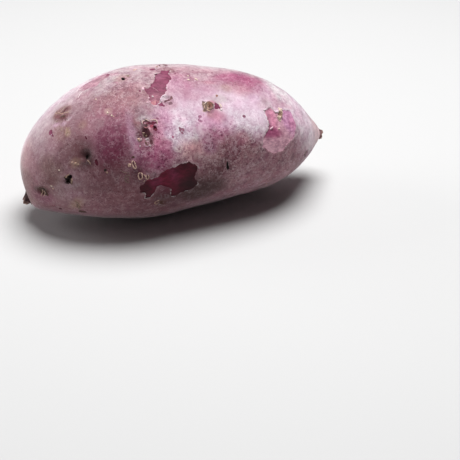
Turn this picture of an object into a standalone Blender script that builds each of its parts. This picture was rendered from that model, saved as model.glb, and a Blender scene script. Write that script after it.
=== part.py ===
"""A whole purple sweet potato, as it lies on a table. Metres, +Z up.

It is one grown solid: the swollen root with its eyes, pits, ringed knots and places where the papery skin has
come off, the broken root at its blunt end and the scar at its narrow end.
The length runs along X, with the blunt end at -X and the narrow end at +X, and -Y is its front.
The origin is on the table, under the middle of the box round the whole root.
"""
import math
from collections import namedtuple

import bmesh
import bpy
import numpy as np
from mathutils import Matrix, Vector, noise

MM = 0.001

# Driving sizes, in millimetres
LENGTH = 147
ACROSS, UPRIGHT = 1.04, 0.98  # the cross-section is a little wider than it is high
FLAT_DEPTH = 0.8              # the small flat spot it lies on is cut this deep
SKIN = 0.5                    # the papery skin, drawn a little thicker than life
CELLS = 80                    # mesh cells along a short edge of the box that the body is blown up from
TRIANGLES = 10300             # kept on the body once its even mesh is thinned out
TABLE = 4 * LENGTH            # size of the block that cuts the flat spot

# The body, from the blunt end (-1) to the narrow end (1): its half-thickness, and how its middle line runs
GIRTH_AT = (-1, -0.75, -0.4, 0, 0.4, 0.75, 1)
GIRTH = (49, 39, 37.5, 34.5, 32.5, 29.5, 15)
MIDDLE_AT = (-1, -0.5, 0, 0.5, 1)
MIDDLE_HEIGHT = (24, 35.5, 35.5, 34, 24)
MIDDLE_BACK = (3.5, -3, -1.5, -3, 3.5)

# A place on the body is given by along, in millimetres from the middle towards the narrow end,
# and around, in degrees from the top (0) over the front (90) to the underside (180); the back is negative.

# Soft swellings and hollows of the whole flesh
Swell = namedtuple("Swell", "along around spread height")
SWELLS = (
    Swell(-38, 42, 12, 0.7),
    Swell(-22, 56, 8, -0.9),
    Swell(-4, 62, 13, 0.8),
    Swell(-49, 64, 8, -0.9),
    Swell(-62, 50, 9, 0.4),
    Swell(22, 80, 15, 0.5),
    Swell(38, 50, 14, -0.4),
    Swell(-30, 110, 16, 0.5),
    Swell(-64, 118, 7, -0.6),
    Swell(-68, 168, 6, 1.6),
    Swell(72, -60, 7, 0.9),
    Swell(-40, -70, 14, 0.8),
    Swell(-12, -95, 10, -1.0),
    Swell(20, -55, 15, 0.7),
    Swell(34, -100, 9, -0.8),
    Swell(50, 170, 12, 0.5),
    Swell(56, -25, 9, -0.5),
)

# Eyes: oval hollows with a raised rim and sometimes a corky ridge across them
Eye = namedtuple("Eye", "along around width height depth rim turn ridge")
EYES = (
    Eye(-54.5, 8, 7.5, 6.5, 0.9, 0.2, 10, 0.7),
    Eye(-49.5, 63, 6.5, 5.5, 1.5, 0.2, 0, 0),
    Eye(-68, 99, 4.5, 5.0, 1.2, 0.3, 80, 0.8),
    Eye(-23, 59, 5.0, 9.5, 1.3, 0.3, 12, 0.5),
    Eye(-17.5, 115, 6.5, 5.0, 1.0, 0.3, 20, 0.5),
    Eye(-9.5, 33, 3.6, 3.2, 0.6, 0.4, 0, 0),
    Eye(-54.5, 115, 6.0, 3.0, 0.6, 0.3, -30, 0.3),
    Eye(-47, -38, 6.5, 4.5, 1.2, 0.3, 15, 0.6),
    Eye(-14, -64, 7.0, 5.0, 1.4, 0.3, -10, 0.7),
    Eye(26, -36, 5.0, 3.8, 1.0, 0.3, 0, 0.5),
    Eye(48, -84, 6.0, 4.5, 1.2, 0.3, 25, 0.6),
    Eye(-60, -108, 5.0, 4.0, 1.0, 0.2, 0, 0.4),
    Eye(4, -118, 5.5, 4.0, 1.1, 0.3, -20, 0.5),
    Eye(-36, -152, 5.0, 3.6, 0.9, 0.2, 10, 0.4),
    Eye(30, 142, 5.5, 4.2, 1.0, 0.3, 0, 0.5),
    Eye(58, 104, 5.0, 4.0, 1.0, 0.3, -15, 0.5),
    Eye(62, 10, 3.8, 3.0, 0.7, 0.2, 0, 0.3),
)

# Pits: narrow holes with steep walls
Pit = namedtuple("Pit", "along around radius depth")
PITS = (
    Pit(-25.5, 5, 1.3, 2.4),
    Pit(-58, 84, 1.9, 2.2),
    Pit(-56.5, 80, 1.2, 1.6),
    Pit(-18, 53.5, 1.0, 1.2),
    Pit(38, -60, 1.3, 2.0),
    Pit(-30, -84, 1.6, 1.8),
    Pit(12, 168, 1.2, 1.6),
)

# Knots: corky rings standing out of the skin, round a sunk middle
Knot = namedtuple("Knot", "along around radius height")
KNOTS = (
    Knot(8.5, 41.5, 2.7, 0.7),
    Knot(-22, 48, 2.0, 0.6),
    Knot(-27.5, 87, 1.5, 0.4),
    Knot(-24.5, 88.5, 1.4, 0.4),
    Knot(-30, 77, 1.6, 0.4),
    Knot(43.5, 47.5, 2.2, 0.6),
    Knot(-5.5, -8, 1.8, 0.4),
    Knot(2, -88, 2.4, 0.6),
    Knot(54, -40, 2.0, 0.5),
    Knot(-62, -60, 1.8, 0.5),
)

# Slits: short narrow cracks
Slit = namedtuple("Slit", "along around length width depth turn")
SLITS = (
    Slit(14, 91, 4.2, 0.9, 0.9, 85),
    Slit(-52, 21, 3.0, 0.8, 0.5, 35),
    Slit(-10, -140, 6.0, 0.9, 0.8, 5),
    Slit(40, -120, 5.0, 0.9, 0.7, -10),
)

# Peeled places, where the skin is missing. The outlines are millimetres to the right and upwards,
# as seen by someone looking straight at the place with the blunt end on their left.
Peel = namedtuple("Peel", "along around outline")
PEELS = (
    Peel(-11, 22, (
        (0.5, 10), (3, 11), (5, 13.5), (9, 12.5), (7, 9.5), (7, 5), (4, 2.5), (2, -2.5), (-1, -5.5),
        (-2.5, -8.5), (-6, -9.5), (-7, -8), (-6.5, -4), (-7.5, -0.5), (-4, 1.5), (-3.5, 3), (-1, 4.5),
        (-0.5, 7))),
    Peel(-14, 95, (
        (-10, 2.5), (-5.5, 3), (-4.5, 4.5), (-1.5, 6), (5, 7.5), (9, 8), (13.5, 5), (12, -0.5), (13.5, -4.5),
        (11.5, -6.5), (5.5, -8), (3, -9.5), (1.5, -9), (0, -4), (-4.5, -1), (-6, -2), (-7, -4.5), (-9, -7.5),
        (-11, -8), (-11.5, -4.5), (-13.5, -4), (-14, -1.5))),
    Peel(42, 56, (
        (-7.5, 5.5), (-6.5, 3), (-6, 0), (-6.5, -3), (-9, -7), (-9.5, -11), (-3, -14), (3, -12.5), (6, -9),
        (10, -6), (11.5, -1), (10, 4.5), (9, 6.5), (5, 6.5), (1.5, 4.5), (-1, 4.5), (-3, 7), (-5.5, 6))),
    Peel(-38, -6, (
        (-8.5, 1.5), (-6, 4), (2, 5), (7, 6), (9, 2.5), (7, -0.5), (3, -2), (0.5, -4.5), (-5.5, -2.5))),
    Peel(-10.5, -3, ((-2, -0.5), (-0.5, 1), (1.5, 1), (1.5, -0.5), (-0.5, -1.5))),
    Peel(18, -84, (
        (-11, -1), (-9, 3), (-5, 3.5), (-2, 6), (3, 5), (6, 6.5), (10, 4), (11, 0), (7, -2), (6, -6), (1, -5),
        (-3, -7), (-7, -4))),
    Peel(-42, -122, ((-7, 0), (-5, 4), (0, 3), (3, 5), (7, 2), (5, -2), (1, -3), (-3, -5))),
    Peel(44, 150, ((-6, 1), (-3, 4), (2, 4.5), (6, 2), (6, -2), (2, -3), (-2, -5), (-5, -3))),
)

# Broken root ends: base and end are points in millimetres, before the body is set down on the table
RootEnd = namedtuple("RootEnd", "base end base_radius end_radius ragged")
ROOT_STUB = RootEnd((-64.5, 1, 20), (-71.5, 2, 12), 7.0, 3.2, 3.5)
TAIL_SCAR = RootEnd((69, 3, 25), (75, 3.5, 23.5), 5.0, 2.2, 1.2)
ROOT_RINGS, ROOT_SIDES = 14, 30
ROOT_HOLLOW = 1.2             # how far the broken face is sunk at its middle

# How the small forms are drawn, where it isn't a size of one of them. Distances in shares are of a form's
# half size or radius; a bump's spread is where it has fallen to about a third.
FACING = 0.2                            # a place reaches only where the skin faces this much its way
FAR = 1000
PLACE_STEP = 0.5
EYE_RIM_AT, EYE_RIM_SPREAD = 1.15, 0.3                  # shares
RIDGE_AT, RIDGE_SPREAD, RIDGE_REACH = 0.1, 0.6, 0.35    # share of the height, millimetres, share of the width
PIT_FLOOR = 0.3                                         # share of the radius that is the pit's floor
PIT_RIM, PIT_RIM_AT, PIT_RIM_SPREAD = 0.15, 1.4, 0.35   # millimetres, shares
KNOT_RING_AT, KNOT_RING_SPREAD = 0.8, 0.3               # shares
KNOT_DIMPLE, KNOT_DIMPLE_SPREAD = 0.5, 0.35             # share of the height, share of the radius
PEEL_REACH = 30                                         # no peeled place is wider than this from its middle
PEEL_EDGE = (-0.3, 0.5)                                 # millimetres inside the outline where the step runs
CURL, CURL_AT, CURL_SPREAD = 0.4, 0.9, 0.7              # the skin's raised edge: share of it, millimetres
ROOT_FLARE = 1.6                        # how fast the root narrows from its base
ROOT_RIDGES = ((6, 0.07, 0), (11, 0.04, 1))             # ridges along it: how many, share of radius, shift
ROOT_FOLDS, ROOT_FOLD_DEPTH = 3.5, 0.05                 # folds round it: how many, share of its radius
ROOT_RAGS = 1.7                         # how closely the ragged end's teeth stand

# Unevenness over the whole skin: size of the bumps and how far they stand out, in millimetres
UNEVEN = ((16, 0.35), (6, 0.12))

COLOUR = (0.31, 0.17, 0.23, 1)
ROUGHNESS = 0.55


def through(at, values, t):
    """The smooth curve through values at the stations at, read at t."""
    return np.polyval(np.polyfit(at, values, len(at) - 1), t)


def body(way):
    """The smooth body's points, in millimetres, for unit directions from its middle."""
    x, y, z = way[..., 0], way[..., 1], way[..., 2]
    girth = through(GIRTH_AT, GIRTH, x)
    return np.stack([
        LENGTH / 2 * x,
        through(MIDDLE_AT, MIDDLE_BACK, x) + ACROSS * girth * y,
        through(MIDDLE_AT, MIDDLE_HEIGHT, x) + UPRIGHT * girth * z,
    ], axis=-1)


def direction(along, around):
    """The unit direction of a place."""
    x = along / (LENGTH / 2)
    side = math.sqrt(1 - x * x)
    turn = math.radians(around)
    return np.array([x, -side * math.sin(turn), side * math.cos(turn)])


def unit(vector):
    return vector / np.linalg.norm(vector)


class Place:
    """A place on the body with the directions right, up and out from it, as seen from straight ahead."""

    def __init__(self, along, around):
        step = PLACE_STEP
        ahead = body(direction(along + step, around)) - body(direction(along - step, around))
        over = body(direction(along, around - step)) - body(direction(along, around + step))
        self.point = body(direction(along, around))
        self.out = unit(np.cross(ahead, over))
        self.right = unit(ahead - self.out * (ahead @ self.out))
        self.up = np.cross(self.out, self.right)

    def seen(self, points, normals, turn=0):
        """How far right and up of the place each point is, turned by an angle, far off if it faces away."""
        offset = points - self.point
        right, up = offset @ self.right, offset @ self.up
        angle = math.radians(turn)
        flat = np.stack([
            right * math.cos(angle) + up * math.sin(angle),
            up * math.cos(angle) - right * math.sin(angle),
        ], axis=-1)
        facing = normals @ self.out > FACING
        return np.where(facing[:, None], flat, FAR)


def step_up(value, low, high):
    """0 below low, 1 above high and a smooth step between."""
    t = np.clip((value - low) / (high - low), 0, 1)
    return t * t * (3 - 2 * t)


def bump(value, spread):
    return np.exp(-(value / spread) ** 2)


def inside_by(points, outline):
    """How far inside the closed outline each point is; negative outside."""
    corners = np.array(outline, float)
    nearest = np.full(len(points), np.inf)
    inside = np.zeros(len(points), bool)
    for start, end in zip(corners, np.roll(corners, -1, axis=0)):
        edge, reach = end - start, points - start
        part = np.clip(reach @ edge / (edge @ edge), 0, 1)
        nearest = np.minimum(nearest, np.linalg.norm(reach - part[:, None] * edge, axis=1))
        if start[1] == end[1]:
            continue
        crossing = start[0] + reach[:, 1] * edge[0] / edge[1]
        inside ^= ((start[1] > points[:, 1]) != (end[1] > points[:, 1])) & (points[:, 0] < crossing)
    return np.where(inside, nearest, -nearest)


def swells(points, normals):
    height = np.zeros(len(points))
    for swell in SWELLS:
        centre = Place(swell.along, swell.around).point
        height += swell.height * bump(np.linalg.norm(points - centre, axis=1), swell.spread)
    return height


def unevenness(points, normals):
    height = np.zeros(len(points))
    for size, tall in UNEVEN:
        height += tall * np.array([noise.noise(Vector(point) / size) for point in points])
    return height


def eyes(points, normals):
    height = np.zeros(len(points))
    for eye in EYES:
        flat = Place(eye.along, eye.around).seen(points, normals, eye.turn)
        away = np.hypot(flat[:, 0] / (eye.width / 2), flat[:, 1] / (eye.height / 2))
        height -= eye.depth * (1 - step_up(away, 0, 1))
        height += eye.rim * bump(away - EYE_RIM_AT, EYE_RIM_SPREAD)
        across = bump(flat[:, 1] - RIDGE_AT * eye.height, RIDGE_SPREAD)
        height += eye.ridge * across * bump(flat[:, 0], RIDGE_REACH * eye.width)
    return height


def pits(points, normals):
    height = np.zeros(len(points))
    for pit in PITS:
        flat = Place(pit.along, pit.around).seen(points, normals)
        away = np.hypot(flat[:, 0], flat[:, 1]) / pit.radius
        height -= pit.depth * (1 - step_up(away, PIT_FLOOR, 1))
        height += PIT_RIM * bump(away - PIT_RIM_AT, PIT_RIM_SPREAD)
    return height


def knots(points, normals):
    height = np.zeros(len(points))
    for knot in KNOTS:
        flat = Place(knot.along, knot.around).seen(points, normals)
        away = np.hypot(flat[:, 0], flat[:, 1]) / knot.radius
        height += knot.height * bump(away - KNOT_RING_AT, KNOT_RING_SPREAD)
        height -= KNOT_DIMPLE * knot.height * bump(away, KNOT_DIMPLE_SPREAD)
    return height


def slits(points, normals):
    height = np.zeros(len(points))
    for slit in SLITS:
        flat = Place(slit.along, slit.around).seen(points, normals, slit.turn)
        beyond = np.maximum(np.abs(flat[:, 0]) - slit.length / 2, 0)
        height -= slit.depth * bump(np.hypot(beyond, flat[:, 1]), slit.width)
    return height


def peels(points, normals):
    height = np.zeros(len(points))
    for peel in PEELS:
        flat = Place(peel.along, peel.around).seen(points, normals)
        near = np.abs(flat).max(axis=1) < PEEL_REACH
        depth = inside_by(flat[near], peel.outline)
        height[near] -= SKIN * step_up(depth, *PEEL_EDGE)
        height[near] += CURL * SKIN * bump(depth + CURL_AT, CURL_SPREAD)
    return height


RELIEF = (swells, unevenness, eyes, pits, knots, slits, peels)


def skin_mesh():
    """An even mesh of quads, blown up from a box to the body and raised and sunk by all the relief."""
    mesh = bmesh.new()
    bmesh.ops.create_cube(mesh, size=2)
    lengthwise = [edge for edge in mesh.edges if abs(edge.verts[0].co.x - edge.verts[1].co.x) > 1]
    bmesh.ops.subdivide_edges(mesh, edges=lengthwise, cuts=1, use_grid_fill=True)
    bmesh.ops.subdivide_edges(mesh, edges=mesh.edges[:], cuts=CELLS - 1, use_grid_fill=True)
    box = np.array([vert.co for vert in mesh.verts])
    way = np.tan(box * math.pi / 4)
    way /= np.linalg.norm(way, axis=1)[:, None]
    points = body(way)
    place_vertices(mesh, points)
    mesh.normal_update()
    normals = np.array([vert.normal for vert in mesh.verts])
    height = sum(relief(points, normals) for relief in RELIEF)
    place_vertices(mesh, points + normals * height[:, None])
    return mesh


def place_vertices(mesh, points):
    for vert, point in zip(mesh.verts, points):
        vert.co = point


def root_end_mesh(root):
    """A short ridged cone with a ragged, sunk end, whose base lies deep in the body."""
    base, end = Vector(root.base), Vector(root.end)
    axis = (end - base).normalized()
    across = axis.orthogonal().normalized()
    other = axis.cross(across)
    mesh = bmesh.new()
    rings = []
    for ring in range(ROOT_RINGS):
        share = ring / (ROOT_RINGS - 1)
        radius = root.end_radius + (root.base_radius - root.end_radius) * (1 - share) ** ROOT_FLARE
        radius *= 1 + ROOT_FOLD_DEPTH * math.cos(2 * math.pi * ROOT_FOLDS * share)
        verts = []
        for side in range(ROOT_SIDES):
            angle = 2 * math.pi * side / ROOT_SIDES
            ridges = sum(tall * math.cos(count * angle + shift) for count, tall, shift in ROOT_RIDGES)
            ridged = radius * (1 + ridges)
            outward = across * math.cos(angle) + other * math.sin(angle)
            ragged = root.ragged * share ** 3 * noise.noise(ROOT_RAGS * outward)
            verts.append(mesh.verts.new(base.lerp(end, share) + axis * ragged + outward * ridged))
        rings.append(verts)
    for lower, upper in zip(rings, rings[1:]):
        for side in range(ROOT_SIDES):
            after = (side + 1) % ROOT_SIDES
            mesh.faces.new((lower[side], lower[after], upper[after], upper[side]))
    cap(mesh, rings[0], base)
    cap(mesh, rings[-1], end - axis * ROOT_HOLLOW)
    bmesh.ops.recalc_face_normals(mesh, faces=mesh.faces)
    return mesh


def cap(mesh, ring, middle):
    centre = mesh.verts.new(middle)
    for first, second in zip(ring, ring[1:] + ring[:1]):
        mesh.faces.new((first, second, centre))


def block_mesh(size):
    """A block whose top is the table's surface."""
    mesh = bmesh.new()
    bmesh.ops.create_cube(mesh, size=size, matrix=Matrix.Translation((0, 0, -size / 2)))
    return mesh


def settle(skin, others):
    """Moves everything so that the origin is under the middle of the box, on the cut of the flat spot."""
    meshes = [skin, *others]
    points = np.array([vert.co for mesh in meshes for vert in mesh.verts])
    middle = (points.min(axis=0) + points.max(axis=0)) / 2
    floor = points[:, 2].min() + FLAT_DEPTH
    move = Matrix.Translation((-middle[0], -middle[1], -floor))
    for mesh in meshes:
        bmesh.ops.transform(mesh, matrix=Matrix.Scale(MM, 4) @ move, verts=mesh.verts)


def add_object(name, mesh):
    data = bpy.data.meshes.new(name)
    mesh.to_mesh(data)
    mesh.free()
    thing = bpy.data.objects.new(name, data)
    bpy.context.scene.collection.objects.link(thing)
    return thing


def make_guide(thing):
    thing.hide_render = True
    thing.display_type = "WIRE"


def combine(thing, other, operation):
    modifier = thing.modifiers.new(other.name, "BOOLEAN")
    modifier.operation = operation
    modifier.solver = "EXACT"
    modifier.object = other
    make_guide(other)


def skin_material():
    material = bpy.data.materials.new("purple_skin")
    material.use_nodes = True
    shader = material.node_tree.nodes["Principled BSDF"]
    shader.inputs["Base Color"].default_value = COLOUR
    shader.inputs["Roughness"].default_value = ROUGHNESS
    shader.inputs["Metallic"].default_value = 0
    material.diffuse_color = COLOUR
    return material


def main():
    for thing in list(bpy.data.objects):
        bpy.data.objects.remove(thing)
    skin = skin_mesh()
    stub = root_end_mesh(ROOT_STUB)
    scar = root_end_mesh(TAIL_SCAR)
    settle(skin, (stub, scar))
    tuber = add_object("tuber", skin)
    tuber.data.materials.append(skin_material())
    thinned = tuber.modifiers.new("thinned", "DECIMATE")
    thinned.ratio = TRIANGLES / (2 * len(tuber.data.polygons))
    combine(tuber, add_object("root_stub", stub), "UNION")
    combine(tuber, add_object("tail_scar", scar), "UNION")
    combine(tuber, add_object("table", block_mesh(TABLE * MM)), "DIFFERENCE")
    tuber.data.shade_smooth()


main()
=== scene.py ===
"""The looks of a whole purple sweet potato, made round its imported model. Metres, +Z up.

The fine skin is blown up from the same driving sizes as the solid, so it lies where the solid lies.
Lengths are in millimetres until settle() turns them into metres.
"""
import math
import random
from collections import namedtuple

import bmesh
import bpy
import numpy as np
from mathutils import Matrix, Vector, kdtree, noise
from mathutils.bvhtree import BVHTree


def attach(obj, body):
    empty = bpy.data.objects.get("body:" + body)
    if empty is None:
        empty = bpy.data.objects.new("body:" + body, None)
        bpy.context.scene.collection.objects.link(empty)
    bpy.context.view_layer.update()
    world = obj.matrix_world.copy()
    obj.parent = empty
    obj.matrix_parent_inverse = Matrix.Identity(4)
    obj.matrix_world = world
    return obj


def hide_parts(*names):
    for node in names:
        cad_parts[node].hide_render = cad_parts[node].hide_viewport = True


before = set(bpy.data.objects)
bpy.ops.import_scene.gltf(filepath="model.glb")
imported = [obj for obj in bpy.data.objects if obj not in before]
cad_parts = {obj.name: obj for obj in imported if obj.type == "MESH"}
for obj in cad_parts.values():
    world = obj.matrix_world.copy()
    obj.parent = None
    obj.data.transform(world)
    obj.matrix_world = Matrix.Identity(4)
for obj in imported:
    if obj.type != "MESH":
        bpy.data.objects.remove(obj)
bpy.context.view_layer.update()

MM = 0.001

# Driving sizes, the same as the solid's
LENGTH = 147
ACROSS, UPRIGHT = 1.04, 0.98
FLAT_DEPTH = 0.8
GIRTH_AT = (-1, -0.75, -0.4, 0, 0.4, 0.75, 1)
GIRTH = (49, 39, 37.5, 34.5, 32.5, 29.5, 15)
MIDDLE_AT = (-1, -0.5, 0, 0.5, 1)
MIDDLE_HEIGHT = (24, 35.5, 35.5, 34, 24)
MIDDLE_BACK = (3.5, -3, -1.5, -3, 3.5)
UNEVEN = ((16, 0.35), (6, 0.12))

# The fine skin
CELLS = 96  # mesh cells along a short edge of the box that the skin is blown up from
SKIN = 0.28  # how far a peeled place is sunk

# A place on the body is given by along, in millimetres from the middle towards the narrow end,
# and around, in degrees from the top (0) over the front (90) to the underside (180); the back is negative.
Swell = namedtuple("Swell", "along around spread height")
SWELLS = (
    Swell(-38, 42, 12, 0.7),
    Swell(-22, 56, 8, -0.9),
    Swell(-4, 62, 13, 0.8),
    Swell(-49, 64, 8, -0.9),
    Swell(-62, 50, 9, 0.4),
    Swell(22, 80, 15, 0.5),
    Swell(38, 50, 14, -0.4),
    Swell(-30, 110, 16, 0.5),
    Swell(-64, 118, 7, -0.6),
    Swell(-68, 168, 6, 1.6),
    Swell(72, -60, 7, 0.9),
    Swell(-40, -70, 14, 0.8),
    Swell(-12, -95, 10, -1.0),
    Swell(20, -55, 15, 0.7),
    Swell(34, -100, 9, -0.8),
    Swell(50, 170, 12, 0.5),
    Swell(56, -25, 9, -0.5),
)

Eye = namedtuple("Eye", "along around width height depth rim turn ridge")
EYES = (
    Eye(-54.5, 8, 7.5, 6.5, 0.9, 0.2, 10, 0.7),
    Eye(-49.5, 63, 6.5, 5.5, 1.5, 0.2, 0, 0),
    Eye(-68, 99, 4.5, 5.0, 1.2, 0.3, 80, 0.8),
    Eye(-23, 59, 5.0, 9.5, 1.3, 0.3, 12, 0.5),
    Eye(-17.5, 115, 6.5, 5.0, 1.0, 0.3, 20, 0.5),
    Eye(-9.5, 33, 3.6, 3.2, 0.6, 0.4, 0, 0),
    Eye(-54.5, 115, 6.0, 3.0, 0.6, 0.3, -30, 0.3),
    Eye(-47, -38, 6.5, 4.5, 1.2, 0.3, 15, 0.6),
    Eye(-14, -64, 7.0, 5.0, 1.4, 0.3, -10, 0.7),
    Eye(26, -36, 5.0, 3.8, 1.0, 0.3, 0, 0.5),
    Eye(48, -84, 6.0, 4.5, 1.2, 0.3, 25, 0.6),
    Eye(-60, -108, 5.0, 4.0, 1.0, 0.2, 0, 0.4),
    Eye(4, -118, 5.5, 4.0, 1.1, 0.3, -20, 0.5),
    Eye(-36, -152, 5.0, 3.6, 0.9, 0.2, 10, 0.4),
    Eye(30, 142, 5.5, 4.2, 1.0, 0.3, 0, 0.5),
    Eye(58, 104, 5.0, 4.0, 1.0, 0.3, -15, 0.5),
    Eye(62, 10, 3.8, 3.0, 0.7, 0.2, 0, 0.3),
)

Pit = namedtuple("Pit", "along around radius depth")
PITS = (
    Pit(-25.5, 5, 1.2, 2.4),
    Pit(-58, 84, 1.7, 2.2),
    Pit(-56.5, 80, 1.1, 1.6),
    Pit(-18, 53.5, 0.9, 1.0),
    Pit(38, -60, 1.2, 2.0),
    Pit(-30, -84, 1.5, 1.8),
    Pit(12, 168, 1.1, 1.6),
)

Knot = namedtuple("Knot", "along around radius height")
KNOTS = (
    Knot(8.5, 41.5, 2.6, 0.6),
    Knot(-22, 48, 1.8, 0.5),
    Knot(-27.5, 87, 1.4, 0.35),
    Knot(-24.5, 88.5, 1.3, 0.35),
    Knot(-30, 77, 1.4, 0.35),
    Knot(43.5, 47.5, 2.0, 0.5),
    Knot(-5.5, -8, 1.8, 0.4),
    Knot(2, -88, 2.3, 0.6),
    Knot(54, -40, 1.9, 0.5),
    Knot(-62, -60, 1.7, 0.5),
)

Slit = namedtuple("Slit", "along around length width depth turn")
SLITS = (
    Slit(14, 91, 4.2, 0.7, 0.9, 85),
    Slit(-52, 21, 3.0, 0.6, 0.5, 35),
    Slit(-10, -140, 6.0, 0.7, 0.8, 5),
    Slit(40, -120, 5.0, 0.7, 0.7, -10),
)

Peel = namedtuple("Peel", "along around outline")
PEELS = (
    Peel(-11, 22, (
        (0.5, 10), (3, 11), (5, 13.5), (9, 12.5), (7, 9.5), (7, 5), (4, 2.5), (2, -2.5), (-1, -5.5),
        (-2.5, -8.5), (-6, -9.5), (-7, -8), (-6.5, -4), (-7.5, -0.5), (-4, 1.5), (-3.5, 3), (-1, 4.5),
        (-0.5, 7))),
    Peel(-14, 95, (
        (-10, 2.5), (-5.5, 3), (-4.5, 4.5), (-1.5, 6), (5, 7.5), (9, 8), (13.5, 5), (12, -0.5), (13.5, -4.5),
        (11.5, -6.5), (5.5, -8), (3, -9.5), (1.5, -9), (0, -4), (-4.5, -1), (-6, -2), (-7, -4.5), (-9, -7.5),
        (-11, -8), (-11.5, -4.5), (-13.5, -4), (-14, -1.5))),
    Peel(42, 56, (
        (-7.5, 5.5), (-6.5, 3), (-6, 0), (-6.5, -3), (-9, -7), (-9.5, -11), (-3, -14), (3, -12.5), (6, -9),
        (10, -6), (11.5, -1), (10, 4.5), (9, 6.5), (5, 6.5), (1.5, 4.5), (-1, 4.5), (-3, 7), (-5.5, 6))),
    Peel(-38, -6, (
        (-8.5, 1.5), (-6, 4), (2, 5), (7, 6), (9, 2.5), (7, -0.5), (3, -2), (0.5, -4.5), (-5.5, -2.5))),
    Peel(-10.5, -3, ((-2, -0.5), (-0.5, 1), (1.5, 1), (1.5, -0.5), (-0.5, -1.5))),
    Peel(18, -84, (
        (-11, -1), (-9, 3), (-5, 3.5), (-2, 6), (3, 5), (6, 6.5), (10, 4), (11, 0), (7, -2), (6, -6), (1, -5),
        (-3, -7), (-7, -4))),
    Peel(-42, -122, ((-7, 0), (-5, 4), (0, 3), (3, 5), (7, 2), (5, -2), (1, -3), (-3, -5))),
    Peel(44, 150, ((-6, 1), (-3, 4), (2, 4.5), (6, 2), (6, -2), (2, -3), (-2, -5), (-5, -3))),
)

RootEnd = namedtuple("RootEnd", "base end base_radius end_radius ragged")
ROOT_STUB = RootEnd((-64.5, 1, 20), (-71.5, 2, 12), 7.0, 3.2, 3.5)
TAIL_SCAR = RootEnd((69, 3, 25), (75, 3.5, 23.5), 5.0, 2.2, 1.2)
ROOT_RINGS, ROOT_SIDES = 24, 90
ROOT_HOLLOW = 1.2

# How the small forms are drawn, where it isn't a size of one of them. Distances in shares are of a form's
# half size or radius; a bump's spread is where it has fallen to about a third.
FACING = 0.2  # a place reaches only where the skin faces this much its way
FAR = 1000  # how far off a point is taken to be where the skin faces away
PLACE_STEP = 0.5  # how far to each side of a place the body is read for its directions
ABOVE = 10  # how far over the smooth body to look down for the skin
EYE_RIM_AT, EYE_RIM_SPREAD = 1.15, 0.3  # shares
RIDGE_AT, RIDGE_SPREAD, RIDGE_REACH = 0.1, 0.6, 0.35  # share of the height, millimetres, share of the width
PIT_FLOOR = 0.3  # share of the radius that is the pit's floor
PIT_RIM, PIT_RIM_AT, PIT_RIM_SPREAD = 0.15, 1.4, 0.35  # millimetres, shares
KNOT_RING_AT, KNOT_RING_SPREAD = 0.8, 0.3  # shares
KNOT_DIMPLE, KNOT_DIMPLE_SPREAD = 0.5, 0.35  # share of the height, share of the radius
PEEL_REACH = 30  # no peeled place is wider than this from its middle
PEEL_EDGE = (-0.2, 0.3)  # millimetres inside the outline where the step runs
CURL, CURL_AT, CURL_SPREAD = 0.5, 0.5, 0.5  # the skin's raised edge: share of it, millimetres
PEEL_RAGGED = 4  # how near its outline a peeled place is ragged
ROOT_FLARE = 1.6  # how fast the root narrows from its base
ROOT_RIDGES = ((6, 0.07, 0), (11, 0.04, 1))  # ridges along it: how many, share of radius, shift
ROOT_FOLDS, ROOT_FOLD_DEPTH = 3.5, 0.05  # folds round it: how many, share of its radius
ROOT_RAGS = 1.7  # how closely the ragged end's teeth stand

# Noises laid over one another: the share of each, the size of its bumps in millimetres, and its seed
PEEL_RAGS = ((0.55, 1.7, 3), (0.3, 0.8, 4))
BROAD = ((1, 8, 11),)
MIDDLING = ((1, 2.6, 12),)
FINE = ((1, 0.9, 13),)
MARBLING = ((1, 5, 14), (0.7, 2.2, 15))
MOTTLING = ((1, 4, 16), (0.6, 1.8, 17))

# Colours, as red, green and blue out of 255 on a screen
PALE = (212, 190, 203)
ASH = (196, 182, 187)
LILAC = (182, 142, 163)
PINK = (209, 158, 185)
BLUSH = (206, 158, 162)
GREY = (188, 170, 175)
TAUPE = (142, 112, 119)
MAUVE = (156, 119, 129)
HEATHER = (180, 128, 140)
CLAY = (157, 119, 121)
DUSK = (142, 98, 105)
ROSE = (153, 100, 122)
MAGENTA = (188, 104, 139)
PLUM = (122, 60, 84)
PLUM_DEEP = (104, 42, 62)
UMBER = (114, 72, 78)
SHADE = (118, 88, 92)
OLIVE = (128, 106, 98)
TAN = (172, 142, 124)
CREAM = (220, 200, 184)
CORK = (204, 170, 154)
DUST = (168, 140, 122)
MAROON = (92, 54, 62)
SEPIA = (134, 102, 98)
PEARL = (228, 210, 222)
ORCHID = (174, 134, 151)
MIST = (196, 162, 182)
DOVE = (187, 153, 167)
STONE = (170, 152, 157)
COCOA = (126, 90, 95)
SOOT = (52, 40, 38)
RUST = (140, 98, 86)
BARK = (70, 46, 46)
CHALK = (226, 212, 214)
BROWN = (84, 60, 54)
BLACK = (24, 17, 16)
SALMON = (196, 128, 134)
ROSY = (206, 136, 164)
CRIMSON = (184, 92, 112)
CLARET = (96, 34, 52)
BERRY = (150, 70, 106)
PETAL = (224, 186, 200)
SHELL = (214, 184, 176)
FAWN = (166, 132, 120)
WINE = (72, 12, 28)
WINE_LIGHT = (112, 18, 48)
WINE_BLACK = (36, 8, 16)
BARE_MAUVE = (124, 58, 84)
BARE_PINK = (204, 154, 170)
BARE_ROSE = (172, 128, 142)
BARE_SPOT = (122, 50, 80)
BARE_SALMON = (212, 136, 164)
BARE_LILAC = (200, 142, 178)
BARE_DUSK = (170, 114, 142)

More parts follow.
